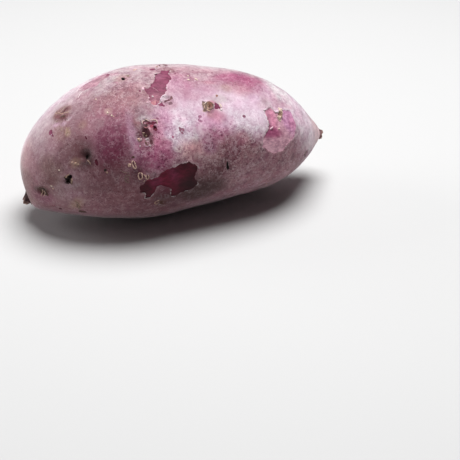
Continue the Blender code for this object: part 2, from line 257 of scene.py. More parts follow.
# Broad patches of colour, painted one over the other: width in millimetres along, height in millimetres
# around, strength out of 1, edge from crisp 0 to soft 1, and how far it is turned
Zone = namedtuple("Zone", "along around width height colour strength edge turn", defaults=(0.6, 0))
ZONES = [Zone(*row) for row in (
    # The blunt end and the left of the front
    (-36, -20, 72, 30, GREY, 0.6),
    (-73, 30, 9, 70, BLUSH, 0.7, 0.5),
    (-70, 22, 2.6, 18, ROSE, 0.2, 0.7),
    (-72, 112, 3.6, 24, FAWN, 0.85, 0.5),
    (-62, 12, 12, 22, GREY, 0.6),
    (-58, 31, 14, 12, DUSK, 0.6, 0.7),
    (-66, 80, 9, 20, DUSK, 0.65),
    (-64, 74, 10, 16, SEPIA, 0.5, 0.8),
    (-71, 62, 6, 26, OLIVE, 0.2, 0.8),
    (-55, 98, 16, 14, GREY, 0.8, 0.7),
    (-60, 112, 22, 16, CLAY, 0.5, 0.7),
    (-66, 110, 5, 9, ROSE, 0.5, 0.7),
    (-44, 92, 30, 20, DUSK, 0.7, 0.7),
    (-38, 122, 46, 16, DUSK, 0.55, 0.7),
    (-29, 106, 32, 11, UMBER, 0.7, 0.7),
    (-31, 93, 22, 9, UMBER, 0.65, 0.7),
    (-36, 20, 26, 16, TAUPE, 0.85),
    (-25, 25, 20, 14, DUSK, 0.5, 0.7),
    (-31, 28, 24, 16, DUSK, 0.6, 0.7),
    (-25, 2, 26, 14, TAUPE, 0.55, 0.7),
    (-48, 2, 16, 16, ASH, 0.2),
    # The plum hollow and the brown-mauve below it
    (-38, 46, 20, 16, MAGENTA, 0.3, 0.7),
    (-37, 57, 16, 24, PLUM, 0.72, 0.5),
    (-38, 65, 12, 13, PLUM, 0.8),
    (-34, 79, 24, 9, UMBER, 0.65),
    (-49, 56, 8, 24, UMBER, 0.55, 0.7, 8),
    (-51, 60.5, 8, 12, BARK, 0.8, 0.8, 10),
    (-50.8, 62.5, 6, 9, SOOT, 0.9, 0.8, 8),
    (-49.6, 64.3, 3.6, 5, BLACK, 0.9, 0.7),
    # Round the big eye
    (-28.5, 57, 4, 20, LILAC, 0.7),
    (-22, 42, 10, 9, TAUPE, 0.65, 0.7),
    (-19, 72, 17, 14, MAGENTA, 0.75),
    (-15, 60, 8, 12, MAGENTA, 0.35, 0.7),
    (-26, 78, 10, 8, PLUM, 0.5, 0.7),
    (-15, 48, 9, 13, PINK, 0.5),
    (-12, 36, 7, 5, MAGENTA, 0.5),
    # The pale shoulder, its pale skin partly a painted highlight
    (6, 42, 46, 16, PALE, 0.85, 0.45),
    (25, 46, 28, 24, PALE, 0.9, 0.5),
    (-8, 57, 11, 20, PALE, 1.0, 0.5),
    (28, 30, 16, 8, PALE, 0.2, 0.7),
    (1, 59, 14, 14, PALE, 0.75),
    (44, 34, 11, 34, PALE, 0.85),
    (11, 57, 15, 10, PINK, 0.85, 0.5),
    (10, 67, 15, 7, MAGENTA, 0.55, 0.7),
    (7, 65, 9, 6, ROSE, 0.7, 0.8),
    (22, 58, 12, 10, PALE, 0.7, 0.7),
    (32, 47, 8, 12, PEARL, 0.8),
    (3, 50, 8, 8, PINK, 0.4, 0.7),
    (0, 35, 12, 8, LILAC, 0.35, 0.7),
    (-7, 65, 9, 7, PALE, 0.8),
    (3, 20, 14, 17, ROSE, 0.2, 0.7),
    (-3, 20, 12, 9, PINK, 0.5, 0.7),
    (10, 26, 12, 10, LILAC, 0.5, 0.7),
    (13, 11, 12, 8, GREY, 0.4, 0.7),
    (12.5, 17.5, 7, 2.2, HEATHER, 0.6, 0.7),
    (-18, 4, 10, 18, GREY, 0.3, 0.7),
    (-1, 12, 11, 10, ROSE, 0.35, 0.7),
    (18, -16, 64, 14, GREY, 0.8),
    # The rose band and the narrow end
    (32, 5, 18, 14, ROSE, 0.9, 0.45, -8),
    (20, 12, 12, 9, ROSE, 0.75),
    (31, 21, 12, 9, ROSE, 0.4, 0.7, 20),
    (26, 24, 10, 7, HEATHER, 0.6, 0.7),
    (38, 24, 9, 8, LILAC, 0.5, 0.7),
    (47, 12, 9, 30, ASH, 0.9, 0.5),
    (57, 36, 20, 36, PALE, 0.85),
    (31, 64, 16, 14, PALE, 0.6),
    # The lower right of the front
    (-1, 73, 15, 9, BLUSH, 0.95),
    (10, 78, 26, 10, HEATHER, 0.8),
    (20, 77, 20, 14, DUSK, 0.9, 0.7),
    # Painted shade low on the front, where the belly turns under
    (-20, 124, 30, 18, UMBER, 0.6, 0.7),
    (6, 100, 32, 24, CLAY, 0.7),
    (40, 96, 30, 28, DUSK, 0.6, 0.7),
    # Finer patches
    (9.7, 46.9, 4.6, 5, ORCHID, 0.9, 0.5),
    (-9, 38.4, 6.5, 5.5, ORCHID, 0.9, 0.5),
    (-15.5, 43.5, 6, 5, ORCHID, 0.6),
    (-12, 48, 6, 12, PINK, 0.6),
    (2.6, 31.9, 13, 4, ORCHID, 0.7),
    (25.6, 41.2, 14, 5.4, MIST, 0.6),
    (43.8, 25.3, 4, 8, DOVE, 0.9),
    (48.5, 34.5, 8, 3.6, DOVE, 0.9),
    (-0.6, 22.5, 5, 9, ROSE, 0.65),
    (-17.6, 80.6, 6.4, 5.4, PLUM, 0.8, 0.5),
    (-31.9, 2.8, 4, 9, STONE, 0.9),
    (-35.9, 9.4, 7, 8, STONE, 0.7),
    (-15.9, 9.4, 9, 9, TAUPE, 0.4),
    (-3.5, -0.5, 7, 6, UMBER, 0.7),
    (-25.7, 47.8, 3.6, 5, DUSK, 0.9, 0.5),
    (4.5, 69.4, 6.4, 7, ROSE, 0.85),
    (23.3, 16.9, 4.4, 5.4, PLUM, 0.5),
    (-15.8, 55.3, 5, 6.5, MAGENTA, 0.45),
    (-56, 54, 11, 13, COCOA, 0.85),
    (9, 90, 12, 9, UMBER, 0.8),
    # The next two: painted shade low on the belly
    (6, 100, 18, 12, MAROON, 0.6),
    (-12, 113, 20, 11, MAROON, 0.5),
    (21.6, 68.4, 6, 5, HEATHER, 0.9),
    (-28.7, 87.2, 4.6, 9, MAROON, 0.8),
    (-3, 57, 4.4, 9, PEARL, 0.7),
    (17.6, 80.6, 6, 5.4, UMBER, 0.9),
    (-27.2, 70.3, 5, 4, ROSE, 0.9),
    # Painted shade: the whole lower front darker
    (-25, 118, 100, 34, UMBER, 0.4, 0.8),
    (-17, 106, 8, 10, MAROON, 0.8, 0.5),
    (12.3, 39.5, 5, 5, TAUPE, 0.5),
    (-13.7, 66.6, 4, 4, ROSY, 0.8),
    # Painted shade under the big peeled place, deepest on the belly
    (-2, 107, 28, 14, BARK, 0.6),
    (43.6, 15.5, 5, 9, DOVE, 0.6),
    (32.3, 33.7, 6, 5, MIST, 0.8),
    (15.3, 34.7, 5, 5, ASH, 0.8),
    (-12.4, 59.1, 4.4, 5, MIST, 0.8),
    (42.9, 37.5, 5, 5, DOVE, 0.8),
    (-11.4, -2.8, 6, 5, MAUVE, 0.8),
    (5.8, 74.1, 6, 5, ROSE, 0.9),
    (-45, 6.6, 6, 6, MAUVE, 0.8),
    (-49, 14.1, 5, 5, TAUPE, 0.8),
    (-18.7, 39.4, 4, 4, MAUVE, 0.7),
    (-51, 31, 7, 9, TAUPE, 0.6),
    (-41.8, 40.3, 6, 5, MAUVE, 0.8),
    (-28.7, -1.9, 5, 5, STONE, 0.8),
    (3.2, 62.8, 5, 5, DOVE, 0.7),
    (-51.6, 59, 6, 12, UMBER, 0.6),
    (-0.5, 48.7, 5, 5, PALE, 0.8),
    (-19.9, 79.7, 4, 4, ROSE, 0.7),
    # Painted rim highlight along the top edge towards the blunt end
    (-44, -26, 44, 14, PALE, 0.6),
    (34.5, 40.7, 4, 4, DOVE, 0.7),
    (-63.5, 81.5, 5, 5, COCOA, 0.7, 0.7),
    (-55.5, 102, 7, 5, MAUVE, 0.7),
    (-32, 26, 30, 20, DUSK, 0.25, 0.7),
    (15.5, 73.6, 8, 7, UMBER, 0.4),
    (7.2, 66, 11, 7, ROSE, 0.6),
    (-20, 77, 9, 10, BERRY, 0.45),
    (-37, 66, 12, 9, PLUM_DEEP, 0.5, 0.7),
    (-4.1, 20.7, 7, 7, ORCHID, 0.35),
    (14.8, 34.7, 12, 4, STONE, 0.5),
    (-11, 37.5, 6, 6, MAUVE, 0.4),
    (-71.5, 112, 5, 18, SEPIA, 0.75),
    (-64, 73, 7, 16, SEPIA, 0.5, 0.8),
    (-54.3, 114, 5, 8, TAN, 0.6, 0.6, -25),
    (-54, 67.3, 4, 4, TAN, 0.5),
    (-48, 39, 9, 8, DUSK, 0.35, 0.7),
    (-47.7, 36.2, 3.6, 3.6, TAN, 0.35, 0.7),
    (-36.5, 33.8, 3, 3, CREAM, 0.3),
    # The next two: painted shade low on the belly
    (2, 112, 22, 12, BARK, 0.6),
    (-20, 122, 34, 12, MAROON, 0.4, 0.7),
    (15.8, 42, 3, 4, DOVE, 0.5, 0.5),
    # Painted rim highlight, paler still, along the same edge
    (-36, -26, 36, 8, CHALK, 0.45),
    (8.6, 47.2, 3.4, 5, MAUVE, 0.6),
    (12.5, 49, 6, 6, HEATHER, 0.5),
    (-57.8, 19.1, 2.6, 2, MIST, 0.8, 0.5, -30),
    (-55.3, 24.3, 2.4, 2, MIST, 0.8, 0.5, -30),
    (31.5, 19.5, 9, 7.5, BERRY, 0.3, 0.5),
    (32.3, 5.5, 13, 7, BERRY, 0.7, 0.4),
    (21.5, 9.5, 9, 5, BERRY, 0.5, 0.5),
    (19.7, 24, 5, 5, FAWN, 0.35, 0.5),
    (48.5, 18, 9, 12, ASH, 0.85, 0.35),
    (44.5, 33, 9, 4, ROSE, 0.45, 0.5),
    (10, 50.5, 8, 6, MAGENTA, 0.25),
    (-15.7, 101, 7, 7, PLUM_DEEP, 0.6),
    # Painted shade: near-black low on the belly
    (-2, 112, 34, 14, SOOT, 0.4, 0.7),
    (-17.2, 116.5, 4.4, 5, BROWN, 0.6, 0.7),
    (9, 62, 6, 6, ROSE, 0.4),
    (-3.5, 20, 7, 8, ORCHID, 0.6, 0.7),
    (17, 45, 6, 6, PEARL, 0.25),
    (17.5, 76, 9, 9, PLUM, 0.35, 0.7),
    (-70.5, 78, 7, 22, ROSE, 0.3, 0.8),
    (-42, 90, 13, 11, UMBER, 0.4, 0.7),
    # Soft stains round the eyes
    (-54.4, 9, 8.6, 8, SEPIA, 0.95, 0.35, -42),
    (-55.1, 14.6, 7.4, 3, UMBER, 0.9, 0.5, -42),
    (-52.5, 9.2, 3.4, 2.8, UMBER, 0.8, 0.6, -42),
    (-52.4, 22, 2.4, 1.8, ASH, 0.5),
    (-56.8, 32, 5.6, 8, SEPIA, 0.6),
    (-54.5, 36, 2, 4, TAN, 0.7, 0.7),
    (-64.6, 81, 4, 4, UMBER, 0.5, 0.8),
    (-68, 97, 5, 5, BROWN, 1.0, 0.45),
    (-68.1, 111, 7, 8, PLUM, 0.55),
    (-23, 59, 6.5, 11, DUSK, 0.6, 0.6, 10),
    (-22.4, 55.5, 4, 5.5, MAROON, 0.8, 0.5, 10),
    (-22.2, 63.3, 4.6, 3.6, MAROON, 0.6),
    (-25.8, 57.5, 3, 3.4, MAROON, 0.7, 0.6, 40),
    (-20.4, 53.6, 2.8, 2.6, HEATHER, 0.9),
    (10.2, 37.8, 4, 2, HEATHER, 0.9),
    (7.9, 47.8, 2.6, 3.4, HEATHER, 0.8),
    (-26, 3, 7, 6, TAN, 0.3, 0.8),
    (-11.6, 31, 3.4, 5.4, ASH, 0.8, 0.5, 10),
    (-22, 45.6, 7, 2.4, ASH, 0.55),
    # The back and the underside
    (-20, -70, 40, 18, PALE, 0.6),
    (22, -96, 24, 20, PLUM, 0.7, 0.6, 8),
    (-46, -92, 18, 22, ROSE, 0.7),
    (46, -60, 22, 24, LILAC, 0.7),
    (2, -48, 26, 14, PINK, 0.5, 0.7),
    (0, -122, 60, 22, DUSK, 0.7, 0.7),
    (-10, 170, 90, 30, SHADE, 0.6, 0.7),
    (34, 150, 26, 20, UMBER, 0.5, 0.7),
    (60, -110, 18, 22, UMBER, 0.5, 0.7),
    (72, 0, 10, 60, BLUSH, 0.6, 0.7),
)]

# How far broad and finer noise take a zone's edge in and out, in shares of its half size
ZONE_BROAD, ZONE_RAGGED = 0.3, 0.15

# How much the marbling and the mottling take the red, green and blue up and down
MARBLED = (0.02, 0.16, 0.1)
MOTTLED = (0.2, 0.22, 0.21)

# How strongly specks and threads show, against 1 elsewhere
LIVELY = [Zone(*row) for row in (
    (-58, 70, 50, 90, 0.65, 1, 0.5),
    (-36, 110, 50, 40, 0.7, 1),
    (14, 42, 58, 30, 0.6, 1),
    # Fewer pale specks low on the belly, so that it reads darker there as painted shade
    (0, 111, 34, 18, 0.4, 1),
    (-50.2, 61, 9, 13, 0.35, 1),
    (-12, 66, 26, 22, 1.7, 1),
    (14, 76, 34, 20, 1.8, 1),
)]

# Marks with crisp, ragged edges: corky skin, creases, dark hollows
Spot = namedtuple("Spot", "along around width height colour turn", defaults=(0,))
SPOT_RAGGED = 0.3  # how far noise takes a spot's edge in and out, in shares of its half size
SPOT_OVER = 0.3  # how far past its edge a spot's colour is laid, in millimetres
UNMARKED = -9  # millimetres inside a mark, where there is none
MARKS = [Spot(*row) for row in (
    # The crusted eye on the shoulder of the blunt end and the corky skin below it
    (-56.3, 1.4, 1.6, 1.4, OLIVE),
    (-55.1, 14.8, 6.2, 2.0, UMBER, -42),
    (-54.3, 15.2, 3, 1.1, BROWN, -42),
    (-52.5, 9.2, 2.8, 2.2, UMBER, -42),
    (-54, 21.2, 1.8, 0.9, BROWN, -30),
    (-55.6, 21.4, 0.8, 0.8, UMBER),
    (-57.4, 16, 1.2, 0.8, OLIVE),
    (-55.7, 32, 0.8, 3.4, SEPIA, -5),
    # The dark eye, the holes and the eye with a tan line
    (-49.4, 64.8, 1.2, 1.5, BLACK),
    (-42.1, 79, 1.5, 1.3, SOOT),
    (-46.8, 65, 0.8, 1.0, BROWN),
    (-57.4, 82.6, 3.8, 5.2, OLIVE, 20),
    (-58, 83.4, 2.8, 2.0, SOOT, -35),
    (-57.2, 84.2, 1.8, 3.0, SOOT),
    (-56.5, 80.2, 1.1, 1.7, BLACK),
    (-67.8, 97, 4.6, 4.2, BROWN),
    (-66.9, 97.5, 2.4, 3.6, SOOT),
    (-66.1, 101, 1.2, 2.8, BROWN),
    (-25.6, 4.2, 1.7, 2.4, BLACK),
    (-23, 2.5, 1.5, 2.2, OLIVE),
    # The big eye, the ringed knot and the red hollows above it
    (-23.3, 56.4, 1.8, 3.4, OLIVE, 10),
    (-22.2, 55.6, 2.8, 5.0, MAROON, 12),
    (-22.9, 57.2, 1.2, 1.0, BROWN),
    (-23.3, 63.7, 1.0, 2.2, BROWN, 25),
    (-20.9, 63.2, 1.2, 2.6, MAROON),
    (-25.8, 57.5, 1.0, 2.0, MAROON, -45),
    (-21.9, 49.2, 3.2, 2.3, PLUM_DEEP),
    (-21.9, 49.3, 1.1, 0.8, MAUVE),
    (-18.9, 49.9, 4.0, 1.2, PLUM_DEEP, -5),
    (-18.2, 53.8, 2.1, 2.8, CLARET, 30),
    (-16.2, 47.5, 0.5, 1.5, PLUM, 40),
    (-22, 51.2, 0.6, 0.6, BROWN),
    # The ringed knot on the pale shoulder
    (8.7, 41.4, 4.4, 4.6, DUST),
    (9.9, 39.3, 2.2, 1.8, RUST, -30),
    (9.2, 43.6, 2.2, 1.6, SEPIA, 20),
    (5.7, 41, 0.6, 2.6, BROWN),
    (6.6, 44.6, 2.6, 1.3, CORK, 20),
    (6.5, 40.4, 1.8, 4.4, OLIVE),
    (6.8, 37.1, 0.9, 2.2, BROWN, 45),
    (8.8, 41.4, 0.5, 0.5, BROWN),
    # Marks near the top, in the narrow end's peeled place and low on the front
    (14, 31.8, 1.2, 1.3, RUST, 30),
    (43.4, 45.6, 1.8, 1.8, OLIVE),
    (43.4, 47.5, 2.2, 4.6, DUST),
    (-18.3, -6.5, 2.6, 1.3, TAN, 40),
    (-6, -8.3, 0.9, 3.4, BROWN, 10),
    (-9.8, 34.6, 3.4, 1.3, MAROON, 20),
    (-7.7, 32.6, 1.1, 2.2, COCOA),
    (-17.2, 116, 1.6, 2.4, BROWN),
    (13.9, 90.9, 1.2, 5.0, BLACK, 8),
    (-53.6, 117, 2.0, 7.0, OLIVE),
    (-51.5, 129, 3.6, 2.6, BROWN),
    (-63.7, 127.3, 8.5, 0.7, WINE_LIGHT, 27),
    (-60.7, 130.3, 1.6, 2.0, WINE),
    (-66, 133, 5.5, 0.6, UMBER, 20),
    (-29.7, 72.2, 1.4, 1.0, BROWN),
    (-32.8, 88.3, 1.2, 1.8, OLIVE),
    # The back and the underside
    (-47, -38, 4.4, 3.0, BROWN, 15),
    (-14, -64, 5.0, 3.2, OLIVE, -10),
    (-14, -65, 2.6, 1.4, BROWN, -10),
    (26, -36, 3.0, 2.0, OLIVE),
    (48, -84, 4.0, 2.6, BROWN, 25),
    (-60, -108, 3.0, 2.4, OLIVE),
    (4, -118, 3.6, 2.4, BROWN, -20),
    (-36, -152, 3.0, 2.2, OLIVE, 10),
    (30, 142, 3.4, 2.6, BROWN),
    (58, 104, 3.0, 2.6, OLIVE, -15),
    (38, -60, 1.6, 1.8, BLACK),
    (-30, -84, 2.0, 2.2, BLACK),
    (12, 168, 1.5, 1.5, BLACK),
    (2, -88, 4.0, 4.0, OLIVE),
    (54, -40, 3.2, 3.2, OLIVE),
    (-62, -60, 2.6, 2.8, TAN),
    (-10, -140, 6.0, 0.9, BROWN, 5),
    (40, -120, 5.0, 0.9, BROWN, -10),
)]

# Colours of the peeled places, in the order of PEELS, and small spots where the skin is off
PEEL_COLOURS = (BARE_MAUVE, WINE, BARE_PINK, BARE_ROSE, BARE_MAUVE, WINE_LIGHT, BARE_MAUVE, WINE)
FLESH_ZONES = [Zone(*row) for row in (
    (-16, 93, 17, 15, WINE_LIGHT, 0.8, 0.9),
    (-20.5, 94, 5, 5, BARE_SPOT, 0.4, 0.8),
    # Painted highlight on the bare flesh
    (-12, 89, 4, 9, BARE_SPOT, 0.4, 0.9, 15),
    # Painted shade at the low right of the big peeled place
    (-5, 101, 10, 7, WINE_BLACK, 0.8, 0.8),
    (-25, 100.5, 5, 7, WINE_BLACK, 0.7, 0.7),
    (-26, 100, 5, 6, WINE, 0.7),
    (-15.8, 35.3, 4.4, 2.6, SALMON, 0.85, 0.5),
    (-9.5, 8.4, 5, 5, ROSE, 0.5, 0.7),
    (-14.5, 31, 7, 6, HEATHER, 0.3, 0.7),
    (-6, 9, 6, 5, PLUM, 0.5, 0.7),
    (38.5, 53, 5, 14, BARE_SALMON, 0.9),
    (48.5, 50, 8, 18, BARE_LILAC, 0.9, 0.5),
    (36.5, 58, 2.6, 18, ROSE, 0.7, 0.7, -10),
    (37.5, 67, 11, 4.5, BERRY, 0.9),
    (50, 56, 4, 6, MAGENTA, 0.4, 0.7),
    (-45.5, -7, 4, 6, GREY, 0.7, 0.7),
    (-33.5, -7.5, 7, 5, MAUVE, 0.8),
)]
PEEL_TONED = 21  # how far from a peeled place's middle its colour reaches
SPOTS = [Spot(*row) for row in (
    (-60.9, 24.2, 2.2, 3.0, BARE_SPOT),
    (-60.4, 29.4, 0.9, 2.6, BARE_SPOT, 15),
    (-48, 48, 1.0, 1.7, CLARET, 20),
    (-45.5, 71.5, 1.5, 2.6, CLARET),
    (-61.3, 8, 0.7, 1.4, BARE_SPOT),
    (-29, 7, 1.4, 1.2, BARE_ROSE),
    (11.8, 43, 1.9, 1.6, BARE_SPOT),
    (12.6, 41, 1.9, 2.8, BARE_SPOT, 20),
    (13.6, 43, 0.8, 1.8, BARE_SPOT, 20),
    (24.4, 50.6, 1.8, 1.5, ROSE),
    (3.3, 49.5, 1.9, 1.4, BARE_DUSK, 20),
    (2.9, 52.7, 2.4, 1.2, BARE_DUSK, -20),
    (-7.3, 57.4, 1.5, 2.6, ROSE),
    (-5.9, 58.2, 1.1, 1.6, ROSE),
    (-6.6, 60.3, 1.6, 1.2, ROSE),
    (-11, 62, 0.9, 1.6, MAGENTA),
    (-1.3, 6, 1.0, 1.2, BARE_MAUVE),
    (-13.4, 37.2, 3.4, 1.6, BARE_SPOT, -30),
    (-19.6, 52, 2.0, 1.6, CRIMSON),
    (-20.7, 22.4, 1.2, 1.5, BARE_SPOT),
    (-18.4, 21.2, 0.9, 1.2, BARE_SPOT),
    (-8.9, 37.4, 1.8, 1.6, MAUVE),
    (-2.5, -14, 2.2, 5.0, BARE_MAUVE),
    (33, -14, 1.6, 1.4, BARE_MAUVE),
    (-30, -46, 2.2, 1.6, BARE_SPOT),
    (8, -66, 1.6, 2.2, BARE_SPOT),
    (60, -70, 1.8, 2.4, BARE_MAUVE),
    (-55, -74, 2.0, 1.6, BARE_SPOT),
)]

LOOP_STEPS = 18  # steps along a path round an oval


def turned(right, up, degrees):
    """An offset turned anticlockwise."""
    angle = math.radians(degrees)
    return right * math.cos(angle) - up * math.sin(angle), up * math.cos(angle) + right * math.sin(angle)


def loop(width, height, start=100, sweep=340, turn=0):
    """A path round an oval, from start degrees above the right on through sweep degrees."""
    angles = np.radians(np.arange(start, start + sweep + 1, sweep / LOOP_STEPS))
    return np.transpose(turned(width / 2 * np.cos(angles), height / 2 * np.sin(angles), turn))


# Corky ridges: paths in millimetres to the right and upwards from a place, and how wide the ridge is
Ridge = namedtuple("Ridge", "along around path width colour")
RIDGES = [Ridge(*row) for row in (
    # The group of small rings below the plum hollow
    (-29.8, 77.6, loop(1.2, 3.6, 60, 350, 12), 0.65, CORK),
    (-27.4, 86.9, loop(1.8, 3.2), 0.65, CORK),
    (-25.3, 88, ((-0.4, 1.1), (0.1, 0), (0.3, -1.2)), 0.55, CORK),
    (-24.3, 88.3, loop(1.2, 2.2, 120, 300), 0.5, CORK),
    (-25.7, 91.4, ((-0.3, -0.5), (0.3, 0.4)), 0.45, CORK),
    (-32.8, 88.3, loop(2.8, 3.6, 40, 250), 0.45, OLIVE),
    (-33.8, 82.4, ((-1.8, 1), (-0.2, -0.4), (1.9, -0.5)), 0.3, OLIVE),
    # Round the big eye
    (-23.6, 46.6, ((0.2, 1.6), (-0.1, 0.2), (-0.2, -1.8)), 0.45, GREY),
    (-21.9, 48.4, ((-1.7, -1), (-1.1, 0.6), (0.3, 1), (1.6, -0.1)), 0.6, SHELL),
    (-21.9, 51.4, loop(2.2, 1.5, 170, 260), 0.4, SALMON),
    (-17.1, 49.6, ((-2.4, 1.1), (-0.9, 1.2), (0.2, 0.8), (0.4, -0.2), (0, -1.2)), 0.55, SHELL),
    (-23.5, 65, ((-0.6, 1.4), (-0.6, -0.4), (0.2, -0.9), (1.2, -0.7)), 0.35, LILAC),
    # The knot on the pale shoulder and the crescent under the top peeled place
    (8.7, 41.1, loop(3.8, 4.0, 130, 330), 0.5, OLIVE),
    (7, 39.2, ((-0.7, -0.4), (0, 0.1), (0.8, 0.5)), 0.45, CREAM),
    (6.3, 42.6, ((0.2, 1), (-0.1, 0), (0.1, -0.9)), 0.45, CORK),
    (-11.9, 32.6, ((-1, -1.9), (-0.8, -0.4), (-0.1, 0.7), (1.2, 1.4)), 0.9, PALE),
    (-13.4, 23.2, ((-1.1, 1.4), (0, 0), (0.9, -1.5)), 0.34, BARE_PINK),
    # The eyes on the blunt end
    (-54.5, 8, ((-3.4, 2.5), (-1.5, 0.6), (-0.1, -0.7)), 0.4, CORK),
    (-54.5, 8, ((-0.6, -0.1), (0, -0.5), (1.5, -1.9), (3.2, -3.5)), 0.35, CORK),
    (-56.5, 28.6, ((0.4, 0.9), (-0.4, -0.9)), 0.4, DUST),
    (-55, 34.6, ((0.5, 2.4), (0.3, 0), (-0.9, -2.2)), 0.4, DUST),
    (-53.9, 34, loop(1.4, 2.4, 60, 270, -20), 0.35, DUST),
    (-68, 100.8, ((0.6, 1.8), (0.1, 0), (-0.9, -1.8)), 0.5, CORK),
    (-67.3, 100.4, ((0.2, 1.7), (0.7, 0.5), (0, -1), (-1, -1.9)), 0.45, CORK),
    (-57.4, 78.4, ((-1.4, -0.9), (-0.2, 0.2), (1.2, 0.9)), 0.6, TAN),
    (-56.2, 83, ((0.6, 1), (0.3, -0.4), (-0.4, -1.6)), 0.4, TAN),
    (-48.6, 69.5, ((-0.6, 1), (0.2, 0), (0.5, -1.3)), 0.35, TAN),
    # The bud in the narrow end's peeled place, and thin lines over the top
    (43.7, 42.6, ((0.4, 1.3), (0, 0), (-0.3, -1.3)), 0.8, CREAM),
    (44.9, 43.2, ((0.6, 1.4), (0.2, 0), (-0.1, -1.6)), 0.7, CREAM),
    (44.2, 47.6, ((0.5, 1.3), (0.2, 0), (-0.1, -1.4)), 1.1, TAN),
    (42.8, 52.2, ((-0.8, 1.3), (-0.5, -0.4), (0.3, -0.9), (0.9, 0.3)), 0.8, CREAM),
    (43.3, 50.6, ((0.3, 0.9), (0, -0.6)), 0.9, CORK),
    (37.6, 62, ((-1, -0.4), (0.1, 0), (1, 0.6)), 0.8, PETAL),
    (41.7, 63, ((-0.6, -0.2), (0.6, 0.3)), 0.4, CREAM),
    (-45.4, 1.8, ((-1.2, -1.6), (-0.3, -0.3), (0.4, 0.4), (1.3, 1.6)), 0.4, CHALK),
    (-4, -12, ((-1.4, 0.8), (0.2, 0.3), (1.8, -0.6)), 0.5, OLIVE),
    # Low on the front
    (-19.4, 114, loop(2.4, 2.6, 40, 280), 0.5, TAN),
    (-53.4, 116, ((-1, 2.6), (0.2, 0.4), (-0.4, -2)), 0.5, TAN),
    # The back and the underside
    (-47, -38, ((-2.2, -0.4), (0, 0.3), (2.2, 0)), 0.6, CORK),
    (-14, -64, ((-2.4, 0.3), (-0.6, -0.4), (2.4, 0.1)), 0.7, CORK),
    (26, -36, ((-1.4, -0.2), (0.2, 0.3), (1.5, -0.1)), 0.5, CORK),
    (48, -84, ((-2, -0.8), (0, 0), (2, 0.7)), 0.6, CORK),
    (2, -88, loop(3.4, 3.2, 60, 340), 0.6, TAN),
    (2, -88, loop(1.7, 1.6, 200, 330), 0.4, CORK),
    (54, -40, loop(2.8, 2.6, 10, 330), 0.5, TAN),
    (-62, -60, loop(2.2, 2.4, 80, 320), 0.5, CORK),
    (-26, -112, loop(1.6, 2.4, 80, 340), 0.5, CORK),
    (-29, -116, loop(1.8, 1.6, 180, 320), 0.45, CORK),
    (14, -128, loop(2, 1.6), 0.5, TAN),
    (30, 142, ((-1.6, -0.3), (0, 0.4), (1.7, 0.1)), 0.5, CORK),
    (4, -118, ((-1.8, 0.5), (0, -0.2), (1.7, -0.4)), 0.5, TAN),
)]

RIDGE_SIDES = 6
RIDGE_STEP, RIDGE_FEWEST = 0.3, 4  # millimetres between a ridge's sections, and the fewest it has
RIDGE_ENDS, RIDGE_SWELLS = 0.45, 0.55  # share of its thickness at its ends, and what its middle has besides
RIDGE_LUMPS, RIDGE_LUMPS_CLOSE = 0.7, 2.1  # share of its thickness, how closely they stand
RIDGE_WANDERS, RIDGE_BENDS_CLOSE = 0.25, 1.3  # millimetres to each side, how closely the bends stand
RIDGE_BENDS_FROM = Vector((9, 0, 0))  # where the noise is read, so that lumps and bends differ

# The root ends' pieces, with the colours of their folds, of the skin between them and of their tips
ROOT_ENDS = (
    ("root_stub", ROOT_STUB, (BARK, COCOA, FAWN)),
    ("tail_scar", TAIL_SCAR, (UMBER, TAUPE, TAN)),
)

# Raised crusts and crumbs of corky skin
CRUSTS = [Spot(*row) for row in (
    (-31.7, 77.6, 1.5, 1.5, CORK),
    (-23.6, 55.8, 1.2, 0.6, CORK, 5),
    (-22.5, 58.3, 0.9, 0.9, TAN),
    (-26.2, 60.2, 1.2, 1.6, CORK, 20),
    (-25.3, 60.4, 0.9, 1.3, GREY, -20),
    (-22.4, 60.9, 1.7, 0.9, GREY, 10),
    (-21.7, 65.8, 0.9, 0.7, GREY, -30),
    (-26.1, 65.2, 0.7, 0.9, GREY),
    (14.3, 41, 0.7, 2.6, CREAM, 15),
    (14, 44.6, 1.0, 1.0, CHALK),
    (44.2, 46, 1.6, 2.6, TAN),
    (43, 51.5, 1.6, 2.2, CREAM),
    (44.3, 42.3, 1.2, 1.8, CREAM),
    (7.3, 13.8, 1.0, 2.2, CREAM, 35),
    (4.1, 9.7, 1.0, 0.9, CREAM),
    (3.5, 14.6, 1.2, 1.0, CREAM),
    (-15.9, 29.3, 0.9, 0.9, CHALK),
    (-19, 21, 1.1, 2.0, PETAL),
    (-17.7, 30.4, 0.8, 0.8, PETAL),
    (-17.8, 33.6, 0.6, 1.3, PETAL),
    (-19, 34.2, 1.0, 0.8, PETAL),
    (-64.2, 88.2, 0.8, 0.9, CREAM),
    (-63.7, 92, 0.8, 0.8, CORK),
    (-60.4, 70.3, 0.7, 0.8, CREAM),
    (-54, 68, 1.4, 1.2, TAN),
    (-53, 69.5, 1.0, 0.7, DUST, 30),
    (-41.5, 81.2, 1.0, 0.6, TAN),
    (-55.2, 66, 0.8, 0.8, CORK),
    (-40, 18, 0.7, 0.8, CREAM),
    (-35.6, 37.8, 0.9, 0.9, CREAM),
    (-36.9, 34.4, 0.7, 1.0, CREAM),
    (-34.9, 39.2, 0.6, 0.6, CORK),
    (-18, -6, 1.2, 0.8, CORK, 30),
    (-7.7, -7, 1.0, 1.0, TAN),
    (-60.8, 27.5, 0.6, 0.9, LILAC),
    (-19, 112, 1.1, 1.0, CORK),
    (-46, -40, 1.0, 0.9, CREAM),
    (-12, -62, 1.2, 0.9, CREAM, 20),
    (2, -88, 0.9, 0.9, CORK),
    (50, -86, 1.0, 0.8, CREAM),
    (-58, -110, 1.0, 0.9, TAN),
    (20, -70, 0.8, 0.9, CREAM),
    (-6, -102, 0.8, 0.7, CORK),
    (36, 128, 0.9, 0.8, CORK),
)]

